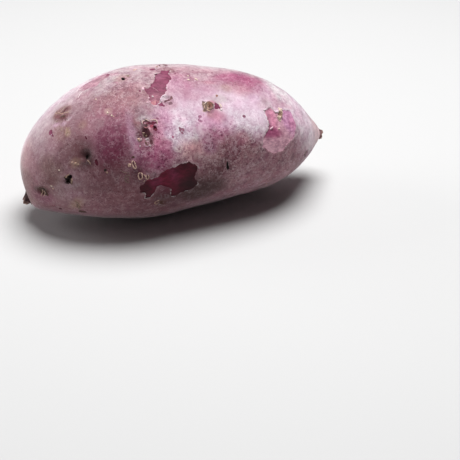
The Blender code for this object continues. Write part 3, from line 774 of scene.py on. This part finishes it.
CRUST_THICK, CRUST_SUNK = 0.3, 0.1  # share of its smaller size, share of that
CRUST_BULGES, CRUST_BULGES_CLOSE = 0.6, 1.9  # share of its width, how closely they stand
CRUST_LUMPS, CRUST_LUMPS_CLOSE = 0.5, 3.1  # share of its thickness, how closely they stand
CRUST_SHIFT = 3.1  # how much farther on each crust reads the noise
CRUST_CUTS = 3  # how often the ball that a crust is made from is subdivided

# Loose, lifted edges of the papery skin round the bare places: lengths in millimetres, the share of the edge
# that has them, the fewest steps they take, how many mesh cells beyond the edge their colour is read and how
# far it fades to chalk, how much their tips vary and how closely
FLAKES = dict(
    seed=5, share=0.35, shortest=1, longest=3.5, fewest=4, width=0.4, lift=0.12, thick=0.06,
    beyond=2, fading=0.35, ragged=0.8, close=1.6,
)

# The view, in millimetres and degrees: where the camera looks, how far off it stands, its turn and its lens
AIM = (16.7, -26.3, -5.2)
DISTANCE = 591
AZIMUTH, ELEVATION = -18, 30
LENS = 98

# How the materials take the red, green and blue of a colour down and up
PAPER_THIN, PAPER_THICK = (0.82, 0.7, 0.78), (1.14, 1.18, 1.15)
SPECK_PALE, SPECK_DEEP = (0.72, 0.54, 0.64), (0.42, 0.32, 0.36)
THREAD, FROST = (1.4, 1.55, 1.46), (0.62, 0.5, 0.54, 1)
FLESH_DIM, FLESH_BRIGHT = (0.68, 0.6, 0.65), (1.26, 1.36, 1.3)
# The second of these darkens the flesh just inside a peeled place's edge: a painted shadow under the skin's
# edge
FLESH_SPECK, FLESH_EDGE_SHADOW = (1.3, 1.7, 1.5), (0.55, 0.45, 0.5)
MARK_DIM, MARK_BRIGHT = (0.74, 0.7, 0.7), (1.24, 1.22, 1.2)
CORK_DIM, CORK_BRIGHT = (0.75, 0.7, 0.7), (1.1, 1.1, 1.1)
ROUGH_CORK, ROUGH_FLAKE, ROUGH_FLESH, ROUGH_FLOOR = 0.85, 0.6, 0.55, 0.8
ROOT_FOLDED, ROOT_DRIFT = 1.6, 0.2  # how closely the root's folds stand, along it and across it

# The studio, in metres and watts
FLOOR, FLOOR_HALF = 0.58, 6  # its grey, and half its width
WORLD = 0.06  # the strength of the light from all sides
LIT = (0, 0, 0.03)  # where the lamps point
Light = namedtuple("Light", "name place size power")
LIGHTS = (
    Light("key", (0.12, 0.1, 0.9), 0.7, 14),
    Light("left", (-0.75, 0.45, 0.3), 0.6, 3),
)


def through(at, values, t):
    """The smooth curve through values at the stations at, read at t."""
    return np.polyval(np.polyfit(at, values, len(at) - 1), t)


def body(way):
    """The smooth body's points, in millimetres, for unit directions from its middle."""
    x, y, z = way[..., 0], way[..., 1], way[..., 2]
    girth = through(GIRTH_AT, GIRTH, x)
    return np.stack([
        LENGTH / 2 * x,
        through(MIDDLE_AT, MIDDLE_BACK, x) + ACROSS * girth * y,
        through(MIDDLE_AT, MIDDLE_HEIGHT, x) + UPRIGHT * girth * z,
    ], axis=-1)


def direction(along, around):
    """The unit direction of a place."""
    x = along / (LENGTH / 2)
    side = math.sqrt(1 - x * x)
    turn = math.radians(around)
    return np.array([x, -side * math.sin(turn), side * math.cos(turn)])


def unit(vector):
    return vector / np.linalg.norm(vector)


class Place:
    """A place on the body with the directions right, up and out from it, as seen from straight ahead."""

    def __init__(self, along, around):
        step = PLACE_STEP
        ahead = body(direction(along + step, around)) - body(direction(along - step, around))
        over = body(direction(along, around - step)) - body(direction(along, around + step))
        self.point = body(direction(along, around))
        self.out = unit(np.cross(ahead, over))
        self.right = unit(ahead - self.out * (ahead @ self.out))
        self.up = np.cross(self.out, self.right)

    def seen(self, points, normals, turn=0):
        """How far right and up of the place each point is, turned by an angle, far off if it faces away."""
        offset = points - self.point
        flat = np.stack(turned(offset @ self.right, offset @ self.up, -turn), axis=-1)
        facing = normals @ self.out > FACING
        return np.where(facing[:, None], flat, FAR)


def step_up(value, low, high):
    """0 below low, 1 above high and a smooth step between."""
    t = np.clip((value - low) / (high - low), 0, 1)
    return t * t * (3 - 2 * t)


def bump(value, spread):
    return np.exp(-(value / spread) ** 2)


def grain(points, size, seed=0):
    """Smooth noise, about -1 to 1, whose bumps are about size millimetres apart."""
    shift = Vector((seed * 17.3, seed * -9.1, seed * 4.7))
    return np.array([noise.noise(Vector(point) / size + shift) for point in points])


def grains(points, noises):
    return sum(share * grain(points, size, seed) for share, size, seed in noises)


def out_of_oval(right, up, form):
    """How far out of a form's oval an offset is: 0 in its middle, 1 on its edge."""
    return np.hypot(right / (form.width / 2), up / (form.height / 2))


def inside_by(points, outline):
    """How far inside the closed outline each point is; negative outside."""
    corners = np.array(outline, float)
    nearest = np.full(len(points), np.inf)
    inside = np.zeros(len(points), bool)
    for start, end in zip(corners, np.roll(corners, -1, axis=0)):
        edge, reach = end - start, points - start
        part = np.clip(reach @ edge / (edge @ edge), 0, 1)
        nearest = np.minimum(nearest, np.linalg.norm(reach - part[:, None] * edge, axis=1))
        if start[1] == end[1]:
            continue
        crossing = start[0] + reach[:, 1] * edge[0] / edge[1]
        inside ^= ((start[1] > points[:, 1]) != (end[1] > points[:, 1])) & (points[:, 0] < crossing)
    return np.where(inside, nearest, -nearest)


def swells(points, normals):
    height = np.zeros(len(points))
    for swell in SWELLS:
        centre = Place(swell.along, swell.around).point
        height += swell.height * bump(np.linalg.norm(points - centre, axis=1), swell.spread)
    return height


def unevenness(points, normals):
    return sum(tall * grain(points, size) for size, tall in UNEVEN)


def eyes(points, normals):
    height = np.zeros(len(points))
    for eye in EYES:
        flat = Place(eye.along, eye.around).seen(points, normals, eye.turn)
        away = out_of_oval(*flat.T, eye)
        height -= eye.depth * (1 - step_up(away, 0, 1))
        height += eye.rim * bump(away - EYE_RIM_AT, EYE_RIM_SPREAD)
        across = bump(flat[:, 1] - RIDGE_AT * eye.height, RIDGE_SPREAD)
        height += eye.ridge * across * bump(flat[:, 0], RIDGE_REACH * eye.width)
    return height


def pits(points, normals):
    height = np.zeros(len(points))
    for pit in PITS:
        flat = Place(pit.along, pit.around).seen(points, normals)
        away = np.hypot(flat[:, 0], flat[:, 1]) / pit.radius
        height -= pit.depth * (1 - step_up(away, PIT_FLOOR, 1))
        height += PIT_RIM * bump(away - PIT_RIM_AT, PIT_RIM_SPREAD)
    return height


def knots(points, normals):
    height = np.zeros(len(points))
    for knot in KNOTS:
        flat = Place(knot.along, knot.around).seen(points, normals)
        away = np.hypot(flat[:, 0], flat[:, 1]) / knot.radius
        height += knot.height * bump(away - KNOT_RING_AT, KNOT_RING_SPREAD)
        height -= KNOT_DIMPLE * knot.height * bump(away, KNOT_DIMPLE_SPREAD)
    return height


def slits(points, normals):
    height = np.zeros(len(points))
    for slit in SLITS:
        flat = Place(slit.along, slit.around).seen(points, normals, slit.turn)
        beyond = np.maximum(np.abs(flat[:, 0]) - slit.length / 2, 0)
        height -= slit.depth * bump(np.hypot(beyond, flat[:, 1]), slit.width)
    return height


def peel_depth(points, normals):
    """How far inside the nearest peeled place each point is, with ragged edges; negative outside."""
    depth = np.full(len(points), -float(PEEL_REACH))
    for peel in PEELS:
        flat = Place(peel.along, peel.around).seen(points, normals)
        near = np.abs(flat).max(axis=1) < PEEL_REACH
        depth[near] = np.maximum(depth[near], inside_by(flat[near], peel.outline))
    edge = np.abs(depth) < PEEL_RAGGED
    depth[edge] += grains(points[edge], PEEL_RAGS)
    return depth


def peels(points, normals):
    depth = peel_depth(points, normals)
    return CURL * SKIN * bump(depth + CURL_AT, CURL_SPREAD) - SKIN * step_up(depth, *PEEL_EDGE)


RELIEF = (swells, unevenness, eyes, pits, knots, slits, peels)


def place_vertices(mesh, points):
    for vert, point in zip(mesh.verts, points):
        vert.co = point


def skin_mesh():
    """An even mesh of quads, blown up from a box to the body, with all the relief; and its Skin."""
    mesh = bmesh.new()
    bmesh.ops.create_cube(mesh, size=2)
    lengthwise = [edge for edge in mesh.edges if abs(edge.verts[0].co.x - edge.verts[1].co.x) > 1]
    bmesh.ops.subdivide_edges(mesh, edges=lengthwise, cuts=1, use_grid_fill=True)
    bmesh.ops.subdivide_edges(mesh, edges=mesh.edges[:], cuts=CELLS - 1, use_grid_fill=True)
    box = np.array([vert.co for vert in mesh.verts])
    way = np.tan(box * math.pi / 4)
    way /= np.linalg.norm(way, axis=1)[:, None]
    points = body(way)
    place_vertices(mesh, points)
    mesh.normal_update()
    normals = np.array([vert.normal for vert in mesh.verts])
    height = sum(relief(points, normals) for relief in RELIEF)
    place_vertices(mesh, points + normals * height[:, None])
    return mesh, Skin(way, points, normals)


def joined(ring):
    """Neighbours round a closed ring."""
    return zip(ring, ring[1:] + ring[:1])


def join_rings(mesh, rings):
    for lower, upper in zip(rings, rings[1:]):
        for (first, second), (above, beside) in zip(joined(lower), joined(upper)):
            mesh.faces.new((first, second, beside, above))


def root_end_mesh(root):
    """A short ridged cone with a ragged, sunk end, whose base lies deep in the body."""
    base, end = Vector(root.base), Vector(root.end)
    axis = (end - base).normalized()
    across = axis.orthogonal().normalized()
    other = axis.cross(across)
    mesh = bmesh.new()
    rings = []
    for ring in range(ROOT_RINGS):
        share = ring / (ROOT_RINGS - 1)
        radius = root.end_radius + (root.base_radius - root.end_radius) * (1 - share) ** ROOT_FLARE
        radius *= 1 + ROOT_FOLD_DEPTH * math.cos(2 * math.pi * ROOT_FOLDS * share)
        verts = []
        for side in range(ROOT_SIDES):
            angle = 2 * math.pi * side / ROOT_SIDES
            ridges = sum(tall * math.cos(count * angle + shift) for count, tall, shift in ROOT_RIDGES)
            ridged = radius * (1 + ridges)
            outward = across * math.cos(angle) + other * math.sin(angle)
            ragged = root.ragged * share ** 3 * noise.noise(ROOT_RAGS * outward)
            verts.append(mesh.verts.new(base.lerp(end, share) + axis * ragged + outward * ridged))
        rings.append(verts)
    join_rings(mesh, rings)
    cap(mesh, rings[0], base)
    cap(mesh, rings[-1], end - axis * ROOT_HOLLOW)
    bmesh.ops.recalc_face_normals(mesh, faces=mesh.faces)
    return mesh


def cap(mesh, ring, middle):
    centre = mesh.verts.new(middle)
    for first, second in joined(ring):
        mesh.faces.new((first, second, centre))


def linear(colour):
    """A screen colour as the shares of red, green and blue light."""
    share = np.array(colour) / 255
    return np.where(share > 0.04045, ((share + 0.055) / 1.055) ** 2.4, share / 12.92)


def rgba(colour):
    """A screen colour as a shader takes it."""
    return (*linear(colour), 1)


class Skin:
    """The skin's points on the smooth body, with their places and the wobble of coloured edges."""

    def __init__(self, way, points, normals):
        self.points, self.normals = points, normals
        self.along = way[:, 0] * LENGTH / 2
        self.around = np.degrees(np.arctan2(-way[:, 1], way[:, 2]))
        self.radius = through(GIRTH_AT, GIRTH, way[:, 0]) * np.sqrt(1 - way[:, 0] ** 2)
        self.broad, self.middling, self.fine, self.marbling, self.mottling = (
            grains(points, noises) for noises in (BROAD, MIDDLING, FINE, MARBLING, MOTTLING))

    def zone(self, zone):
        """How much of the zone's colour each point takes."""
        over = (self.around - zone.around + 180) % 360 - 180
        right, down = self.along - zone.along, np.radians(over) * self.radius
        away = out_of_oval(*turned(right, down, zone.turn), zone)
        away = away + ZONE_BROAD * self.broad + ZONE_RAGGED * self.middling
        return zone.strength * (1 - step_up(away, 1 - zone.edge, 1 + zone.edge))

    def spot(self, spot):
        """How far inside the spot each point is, in millimetres; negative outside."""
        flat = Place(spot.along, spot.around).seen(self.points, self.normals, spot.turn)
        within = 1 - out_of_oval(*flat.T, spot) + SPOT_RAGGED * self.fine + SPOT_RAGGED * self.middling
        return min(spot.width, spot.height) / 2 * within


def painted(skin, tone, zones):
    for zone in zones:
        tone += skin.zone(zone)[:, None] * (linear(zone.colour) - tone)
    return tone


def steady(lively):
    """How much of the mottling is left where the skin is less lively."""
    return np.minimum(lively, 1)[:, None] ** 2


def skin_tone(skin, lively):
    tone = painted(skin, np.tile(linear(MAUVE), (len(skin.points), 1)), ZONES)
    return tone * (1 + steady(lively) * (np.outer(skin.marbling, MARBLED) + np.outer(skin.mottling, MOTTLED)))


def liveliness(skin):
    amount = np.ones(len(skin.points))
    for zone in LIVELY:
        amount += skin.zone(zone) * (zone.colour - amount)
    return amount


def spotted(skin, spots, depth, tone):
    """Lays spots over one another: how far inside the nearest each point is, and what colour it has there."""
    for spot in spots:
        inside = skin.spot(spot)
        near = inside > np.minimum(-SPOT_OVER, depth)
        tone[near] = linear(spot.colour)
        depth = np.maximum(depth, inside)
    return depth, tone


def bare_places(skin):
    """The peeled places and small spots without skin: how far inside each point is, and the colour there."""
    depth = peel_depth(skin.points, skin.normals)
    tone = np.tile(linear(BARE_MAUVE), (len(skin.points), 1))
    for peel, colour in zip(PEELS, PEEL_COLOURS):
        centre = Place(peel.along, peel.around).point
        tone[np.linalg.norm(skin.points - centre, axis=1) < PEEL_TONED] = linear(colour)
    return spotted(skin, SPOTS, depth, painted(skin, tone, FLESH_ZONES))


def marked_places(skin):
    depth = np.full(len(skin.points), float(UNMARKED))
    tone = np.tile(linear(OLIVE), (len(skin.points), 1))
    return spotted(skin, MARKS, depth, tone)


class Ground:
    """The skin with all its relief, for small things to be set on."""

    def __init__(self, mesh):
        self.tree = BVHTree.FromBMesh(mesh)

    def at(self, place, right, up):
        """The point on the skin, and its normal, for millimetres to the right and upwards of a place."""
        above = place.point + right * place.right + up * place.up + ABOVE * place.out
        return self.tree.ray_cast(Vector(above), Vector(-place.out))[:2]


def toned_mesh():
    mesh = bmesh.new()
    return mesh, mesh.verts.layers.float_color.new("tone")


def sweep(mesh, tone, sections, light):
    """Joins the closed sections into one closed body of one colour, given as light."""
    rings = [[mesh.verts.new(point) for point in section] for section in sections]
    join_rings(mesh, rings)
    mesh.faces.new(rings[0])
    mesh.faces.new(rings[-1])
    for ring in rings:
        for vert in ring:
            vert[tone] = light


def even_path(path, spacing, fewest):
    """Points at even spacing along a path."""
    corners = np.array(path, float)
    reach = np.concatenate([[0], np.cumsum(np.linalg.norm(np.diff(corners, axis=0), axis=1))])
    stops = np.linspace(0, reach[-1], max(fewest, round(reach[-1] / spacing) + 1))
    return np.stack([np.interp(stops, reach, corners[:, axis]) for axis in (0, 1)], axis=-1)


def ridges_mesh(ground):
    """Lumpy, slightly wandering ridges that thin out to both ends."""
    mesh, tone = toned_mesh()
    for ridge in RIDGES:
        place = Place(ridge.along, ridge.around)
        steps = even_path(ridge.path, RIDGE_STEP, RIDGE_FEWEST)
        spots = [ground.at(place, *step) for step in steps]
        sections = []
        for index, (point, normal) in enumerate(spots):
            before, after = spots[max(index - 1, 0)][0], spots[min(index + 1, len(spots) - 1)][0]
            side = normal.cross(after - before).normalized()
            share = index / (len(spots) - 1)
            thick = ridge.width / 2 * (RIDGE_ENDS + RIDGE_SWELLS * math.sin(math.pi * share) ** 0.5)
            thick *= 1 + RIDGE_LUMPS * noise.noise(RIDGE_LUMPS_CLOSE * point)
            bend = noise.noise(RIDGE_BENDS_CLOSE * point + RIDGE_BENDS_FROM)
            middle = point + RIDGE_WANDERS * bend * side
            angles = [math.radians(360 / RIDGE_SIDES * turn) for turn in range(RIDGE_SIDES)]
            sections.append([middle + thick * (math.cos(a) * side + math.sin(a) * normal) for a in angles])
        sweep(mesh, tone, sections, rgba(ridge.colour))
    bmesh.ops.recalc_face_normals(mesh, faces=mesh.faces)
    return mesh


def crusts_mesh(ground):
    """Flat, lumpy crumbs, each shaped by its own noise."""
    mesh, tone = toned_mesh()
    for number, crust in enumerate(CRUSTS):
        place = Place(crust.along, crust.around)
        thick = CRUST_THICK * min(crust.width, crust.height)
        shift = Vector((number * CRUST_SHIFT, 0, 0))
        for vert in bmesh.ops.create_icosphere(mesh, subdivisions=CRUST_CUTS, radius=1)["verts"]:
            way = vert.co.copy()
            bulge = 1 + CRUST_BULGES * noise.noise(CRUST_BULGES_CLOSE * way + shift)
            right, up = crust.width / 2 * bulge * way.x, crust.height / 2 * bulge * way.y
            point, normal = ground.at(place, *turned(right, up, crust.turn))
            rise = way.z * (1 + CRUST_LUMPS * noise.noise(CRUST_LUMPS_CLOSE * way + shift)) - CRUST_SUNK
            vert.co = point + normal * thick * rise
            vert[tone] = rgba(crust.colour)
    return mesh


def edge_lines(mesh, values):
    """The lines on a mesh where its vertices' values pass zero: lists of (point, normal, way to more)."""
    links = {}
    for face in mesh.faces:
        cut = [edge for edge in face.edges if len({values[vert.index] > 0 for vert in edge.verts}) == 2]
        if len(cut) == 2:
            links.setdefault(cut[0], []).append(cut[1])
            links.setdefault(cut[1], []).append(cut[0])
    lines = []
    while links:
        edge = next(iter(links))
        line = []
        while edge in links:
            low, high = sorted(edge.verts, key=lambda vert: values[vert.index])
            share = values[low.index] / (values[low.index] - values[high.index])
            line.append((low.co.lerp(high.co, share), low.normal.lerp(high.normal, share), high.co - low.co))
            edge = next((other for other in links.pop(edge) if other in links), None)
        lines.append(line)
    return lines


def flakes_mesh(mesh, skin, skin_tones):
    """Thin strips of skin lifted along seeded stretches of the peeled places' edges."""
    choice = random.Random(FLAKES["seed"])
    mesh.verts.index_update()
    mesh.normal_update()
    flakes, tone = toned_mesh()
    whole = kdtree.KDTree(len(skin_tones))
    for index, vert in enumerate(mesh.verts):
        whole.insert(vert.co, index)
    whole.balance()
    for line in edge_lines(mesh, peel_depth(skin.points, skin.normals)):
        start = 0
        while start < len(line):
            stretch = choice.uniform(FLAKES["shortest"], FLAKES["longest"])
            end = start + 1
            while end < len(line) and (line[end][0] - line[start][0]).length < stretch:
                end += 1
            if choice.random() < FLAKES["share"] and end - start >= FLAKES["fewest"]:
                outside = line[start][0] - FLAKES["beyond"] * line[start][2]
                near = skin_tones[whole.find(outside)[1]]
                faded = near + FLAKES["fading"] * (linear(CHALK) - near)
                sweep(flakes, tone, flake_sections(line[start:end]), (*faded, 1))
            start = end
    bmesh.ops.recalc_face_normals(flakes, faces=flakes.faces)
    return flakes


def flake_sections(line):
    sections = []
    for index, (point, normal, more) in enumerate(line):
        ahead = line[min(index + 1, len(line) - 1)][0] - line[max(index - 1, 0)][0]
        inward = normal.cross(ahead).normalized()
        inward = inward if inward.dot(more) > 0 else -inward
        share = math.sin(math.pi * (index / (len(line) - 1))) ** 0.5
        ragged = 1 + FLAKES["ragged"] * noise.noise(FLAKES["close"] * point)
        tip = share * ragged * (FLAKES["lift"] * normal + 0.5 * FLAKES["width"] * inward)
        root = point - FLAKES["width"] * inward
        thick = FLAKES["thick"] * normal
        sections.append([root - thick, point + tip, point + tip + thick, root + 0.5 * thick])
    return sections


def resting_place(meshes):
    """How the meshes move, in millimetres, so that their flat spot lies on the table, under their middle."""
    points = np.array([vert.co for mesh in meshes for vert in mesh.verts])
    middle = (points.min(axis=0) + points.max(axis=0)) / 2
    return Matrix.Translation((-middle[0], -middle[1], -points[:, 2].min() - FLAT_DEPTH))


def settle(mesh, move):
    """Sets a mesh down in metres, pressed flat where it lies on the table."""
    bmesh.ops.transform(mesh, matrix=Matrix.Scale(MM, 4) @ move, verts=mesh.verts)
    for vert in mesh.verts:
        vert.co.z = max(vert.co.z, 0)


def put(name, data):
    """Puts an object into the scene."""
    thing = bpy.data.objects.new(name, data)
    bpy.context.scene.collection.objects.link(thing)
    return thing


def put_mesh(name, mesh, material):
    data = bpy.data.meshes.new(name)
    mesh.to_mesh(data)
    mesh.free()
    data.materials.append(material)
    return put(name, data)


def add_piece(name, mesh, material):
    piece = put_mesh(name, mesh, material)
    piece.data.shade_smooth()
    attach(piece, "root")
    return piece


def keep(piece, name, values):
    """Stores a number, or a colour as shares of light, on each vertex."""
    if values.ndim == 1:
        piece.data.attributes.new(name, "FLOAT", "POINT").data.foreach_set("value", values)
        return
    colours = np.column_stack([values, np.ones(len(values))])
    piece.data.attributes.new(name, "FLOAT_COLOR", "POINT").data.foreach_set("color", colours.ravel())


class Graph:
    """A material's nodes. Sizes are in millimetres on the object."""

    def __init__(self, name):
        self.material = bpy.data.materials.new(name)
        self.material.use_nodes = True
        self.tree = self.material.node_tree
        self.shader = self.tree.nodes["Principled BSDF"]
        self.place = self.scaled(self.tree.nodes.new("ShaderNodeTexCoord").outputs["Object"], 1 / MM)

    def add(self, kind, settings, feeds):
        node = self.tree.nodes.new("ShaderNode" + kind)
        for name, value in settings.items():
            setattr(node, name, value)
        for socket, value in feeds.items():
            self.feed(node.inputs[socket], value)
        return node

    def feed(self, socket, value):
        if isinstance(value, bpy.types.NodeSocket):
            self.tree.links.new(value, socket)
        else:
            socket.default_value = value

    def finish(self, name, value):
        self.feed(self.shader.inputs[name], value)

    def bumpy(self, strength, distance, height):
        feeds = {"Strength": strength, "Distance": distance * MM, "Height": height}
        self.finish("Normal", self.add("Bump", {}, feeds).outputs[0])

    def colour(self, name):
        return self.add("Attribute", {"attribute_name": name}, {}).outputs["Color"]

    def number(self, name):
        return self.add("Attribute", {"attribute_name": name}, {}).outputs["Fac"]

    def maths(self, kind, first, second=0):
        return self.add("Math", {"operation": kind}, {0: first, 1: second}).outputs[0]

    def plus(self, first, second):
        return self.maths("ADD", first, second)

    def times(self, first, second):
        return self.maths("MULTIPLY", first, second)

    def vectors(self, kind, first, second):
        return self.add("VectorMath", {"operation": kind}, {0: first, 1: second}).outputs[0]

    def scaled(self, vector, by):
        return self.add("VectorMath", {"operation": "SCALE"}, {0: vector, "Scale": by}).outputs[0]

    def noise(self, size, detail=2, rough=0.5, curl=0, stretch=(1, 1, 1)):
        """Noise from 0 to 1 whose bumps are about size apart."""
        place = self.vectors("MULTIPLY", self.place, stretch)
        feeds = {"Vector": place, "Scale": 1 / size, "Detail": detail, "Roughness": rough, "Distortion": curl}
        return self.add("TexNoise", {}, feeds).outputs["Fac"]

    def step(self, value, low, high, to=(0, 1)):
        """A smooth step between two values."""
        feeds = {"Value": value, "From Min": low, "From Max": high, "To Min": to[0], "To Max": to[1]}
        return self.add("MapRange", {"interpolation_type": "SMOOTHSTEP"}, feeds).outputs[0]

    def threads(self, size, width, curl):
        """Fine curly lines, 1 on a line and 0 beside it."""
        off = self.maths("ABSOLUTE", self.plus(self.noise(size, 1, 0.5, curl), -0.5))
        return self.step(off, width, 0)

    def between(self, share, first, second):
        """A number part of the way from one to another."""
        return self.add("Mix", {"data_type": "FLOAT"}, {0: share, 2: first, 3: second}).outputs[0]

    def mix(self, share, first, second, kind="MIX"):
        settings = {"data_type": "RGBA", "blend_type": kind}
        return self.add("Mix", settings, {0: share, 6: first, 7: second}).outputs[2]

    def tinted(self, colour, shares):
        """A colour with its red, green and blue taken up or down."""
        return self.mix(1, colour, (*shares, 1), "MULTIPLY")

    def varied(self, share, colour, dim, bright):
        return self.mix(share, self.tinted(colour, dim), self.tinted(colour, bright))


def skin_material():
    """Papery skin over darker flesh, with corky and hollow marks."""
    g = Graph("skin")
    cloud = g.noise(6, 4, 0.6)
    felt = g.noise(1.5, 4, 0.65, 0.6)
    speck = g.noise(1, 2, 0.6)
    crumbs = g.noise(0.9, 4, 0.7)
    streaks = g.noise(1.5, 4, 0.7, 0.4, (0.5, 1, 1))
    lively = g.number("lively")
    threads = g.maths("MAXIMUM", g.threads(2.4, 0.06, 1.2), g.threads(1.5, 0.06, 0.8))
    threads = g.times(g.times(threads, g.step(g.noise(2.6), 0.4, 0.6)), g.times(lively, 0.8))

    tone = g.colour("tone")
    deep = g.step(g.add("RGBToBW", {}, {0: tone}).outputs[0], 0.42, 0.12)
    calm = g.maths("MINIMUM", lively, 1)
    cover = g.step(g.plus(cloud, g.times(felt, 1.2)), 0.85, 1.35)
    cover = g.plus(g.times(g.plus(cover, -0.6), g.times(calm, calm)), 0.6)
    paper = g.varied(cover, tone, PAPER_THIN, PAPER_THICK)
    bright = g.mix(g.step(deep, 0, 1, (0.06, 0.34)), g.tinted(tone, THREAD), FROST)
    dim = g.varied(deep, paper, SPECK_PALE, SPECK_DEEP)
    paper = g.mix(g.times(lively, g.step(speck, 0.46, 0.3, (0, 0.85))), paper, dim)
    paper = g.mix(threads, paper, bright)
    paper = g.mix(g.times(lively, g.step(speck, 0.6, 0.72, (0, 0.7))), paper, bright)

    ragged = g.plus(g.number("bare"), g.times(g.plus(felt, -0.5), 0.9))
    bare = g.step(ragged, -0.06, 0.06)
    rim = g.times(g.step(ragged, -0.75, -0.12), g.step(g.noise(1.8), 0.38, 0.6))
    paper = g.mix(g.times(rim, g.step(deep, 0, 1, (0.5, 0.15))), paper, bright)
    flesh = g.varied(g.step(streaks, 0.35, 0.68), g.colour("flesh"), FLESH_DIM, FLESH_BRIGHT)
    flesh = g.mix(g.step(speck, 0.6, 0.7, (0, 0.35)), flesh, g.tinted(flesh, FLESH_SPECK))
    # Painted shadow just inside the peeled place's edge
    flesh = g.mix(g.step(ragged, 0.5, 0.05, (0, 0.2)), flesh, g.tinted(flesh, FLESH_EDGE_SHADOW))

    mark = g.step(g.plus(g.number("mark"), g.times(g.plus(crumbs, -0.5), 1.2)), -0.12, 0.16)
    cork = g.varied(g.step(crumbs, 0.35, 0.68), g.colour("mark_tone"), MARK_DIM, MARK_BRIGHT)
    g.finish("Base Color", g.mix(mark, g.mix(bare, paper, flesh), cork))
    rough = g.between(bare, g.step(felt, 0.3, 0.7, (0.55, 0.7)), ROUGH_FLESH)
    g.finish("Roughness", g.between(mark, rough, ROUGH_CORK))
    g.finish("Specular IOR Level", 0.15)
    g.finish("Sheen Weight", 0.5)
    g.finish("Sheen Roughness", 0.3)
    grainy = g.times(g.plus(g.times(felt, 0.5), g.times(threads, 0.3)), g.maths("SUBTRACT", 1, bare))
    g.bumpy(0.5, 0.15, g.plus(grainy, g.times(mark, crumbs)))
    return g.material


def cork_material(name, roughness):
    """Dry, crumbly skin in each vertex's own colour."""
    g = Graph(name)
    crumbs = g.noise(0.6, 3, 0.6)
    g.finish("Base Color", g.varied(g.step(crumbs, 0.35, 0.65), g.colour("tone"), CORK_DIM, CORK_BRIGHT))
    g.finish("Roughness", roughness)
    g.bumpy(0.5, 0.1, crumbs)
    return g.material


def stub_material(name, length, dark, pale, tip):
    """Dry root: dark folds with paler corky skin between them, and a corky end."""
    g = Graph(name)
    strand = g.number("strand")
    folds = g.add("CombineXYZ", {}, {0: g.times(strand, ROOT_FOLDED)}).outputs[0]
    across = g.vectors("ADD", folds, g.scaled(g.place, ROOT_DRIFT))
    feeds = {"Vector": across, "Scale": 1, "Detail": 3, "Roughness": 0.65}
    strands = g.add("TexNoise", {}, feeds).outputs["Fac"]
    colour = g.mix(g.step(strands, 0.44, 0.7), rgba(dark), rgba(pale))
    at_tip = g.step(g.plus(strand, g.times(strands, 3)), length - 0.2, length + 1.8, (0, 0.8))
    g.finish("Base Color", g.mix(at_tip, colour, rgba(tip)))
    g.finish("Roughness", ROUGH_CORK)
    g.bumpy(0.7, 0.2, strands)
    return g.material


def plain(name, colour, roughness):
    material = bpy.data.materials.new(name)
    material.use_nodes = True
    shader = material.node_tree.nodes["Principled BSDF"]
    shader.inputs["Base Color"].default_value = (*colour, 1)
    shader.inputs["Roughness"].default_value = roughness
    return material


def add_camera():
    """A camera on the photograph's side of the tuber, at its height."""
    turn, rise = math.radians(AZIMUTH), math.radians(ELEVATION)
    back = Vector((math.sin(turn) * math.cos(rise), -math.cos(turn) * math.cos(rise), math.sin(rise)))
    data = bpy.data.cameras.new("camera")
    data.lens = LENS
    camera = put("camera", data)
    camera.location = (Vector(AIM) + DISTANCE * back) * MM
    camera.rotation_euler = back.to_track_quat("Z", "Y").to_euler()
    bpy.context.scene.camera = camera


def add_floor():
    mesh = bmesh.new()
    bmesh.ops.create_grid(mesh, x_segments=1, y_segments=1, size=FLOOR_HALF)
    floor = put_mesh("floor", mesh, plain("floor", (FLOOR, FLOOR, FLOOR), ROUGH_FLOOR))


def add_light(lamp):
    data = bpy.data.lights.new(lamp.name, "AREA")
    data.shape = "DISK"
    data.size = lamp.size
    data.energy = lamp.power
    thing = put(lamp.name, data)
    thing.location = lamp.place
    thing.rotation_euler = (Vector(lamp.place) - Vector(LIT)).to_track_quat("Z", "Y").to_euler()


def add_world():
    world = bpy.data.worlds.new("studio")
    world.use_nodes = True
    background = world.node_tree.nodes["Background"]
    background.inputs["Color"].default_value = (1, 1, 1, 1)
    background.inputs["Strength"].default_value = WORLD
    bpy.context.scene.world = world


def add_root_end(name, root, colours, mesh):
    length = (Vector(root.end) - Vector(root.base)).length
    piece = add_piece(name, mesh, stub_material(name, length, *colours))
    rings = np.repeat(np.linspace(0, length, ROOT_RINGS), ROOT_SIDES)
    keep(piece, "strand", np.append(rings, (0, length)))


def main():
    bpy.context.scene.view_settings.view_transform = "Standard"
    mesh, skin = skin_mesh()
    ends = [root_end_mesh(root) for _, root, _ in ROOT_ENDS]
    move = resting_place((mesh, *ends))
    lively = liveliness(skin)
    tones = skin_tone(skin, lively)
    ground = Ground(mesh)
    small = ridges_mesh(ground), crusts_mesh(ground), flakes_mesh(mesh, skin, tones)
    for part in (mesh, *ends, *small):
        settle(part, move)

    piece = add_piece("tuber_skin", mesh, skin_material())
    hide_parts("tuber")
    bare, flesh = bare_places(skin)
    mark, mark_tone = marked_places(skin)
    stored = dict(tone=tones, lively=lively, bare=bare, flesh=flesh, mark=mark, mark_tone=mark_tone)
    for name, values in stored.items():
        keep(piece, name, values)
    for root_end, part in zip(ROOT_ENDS, ends):
        add_root_end(*root_end, part)
    roughness = (ROUGH_CORK, ROUGH_CORK, ROUGH_FLAKE)
    for name, part, rough in zip(("cork_ridges", "cork_crusts", "skin_flakes"), small, roughness):
        add_piece(name, part, cork_material(name, rough))

    add_floor()
    add_world()
    for lamp in LIGHTS:
        add_light(lamp)
    add_camera()


main()
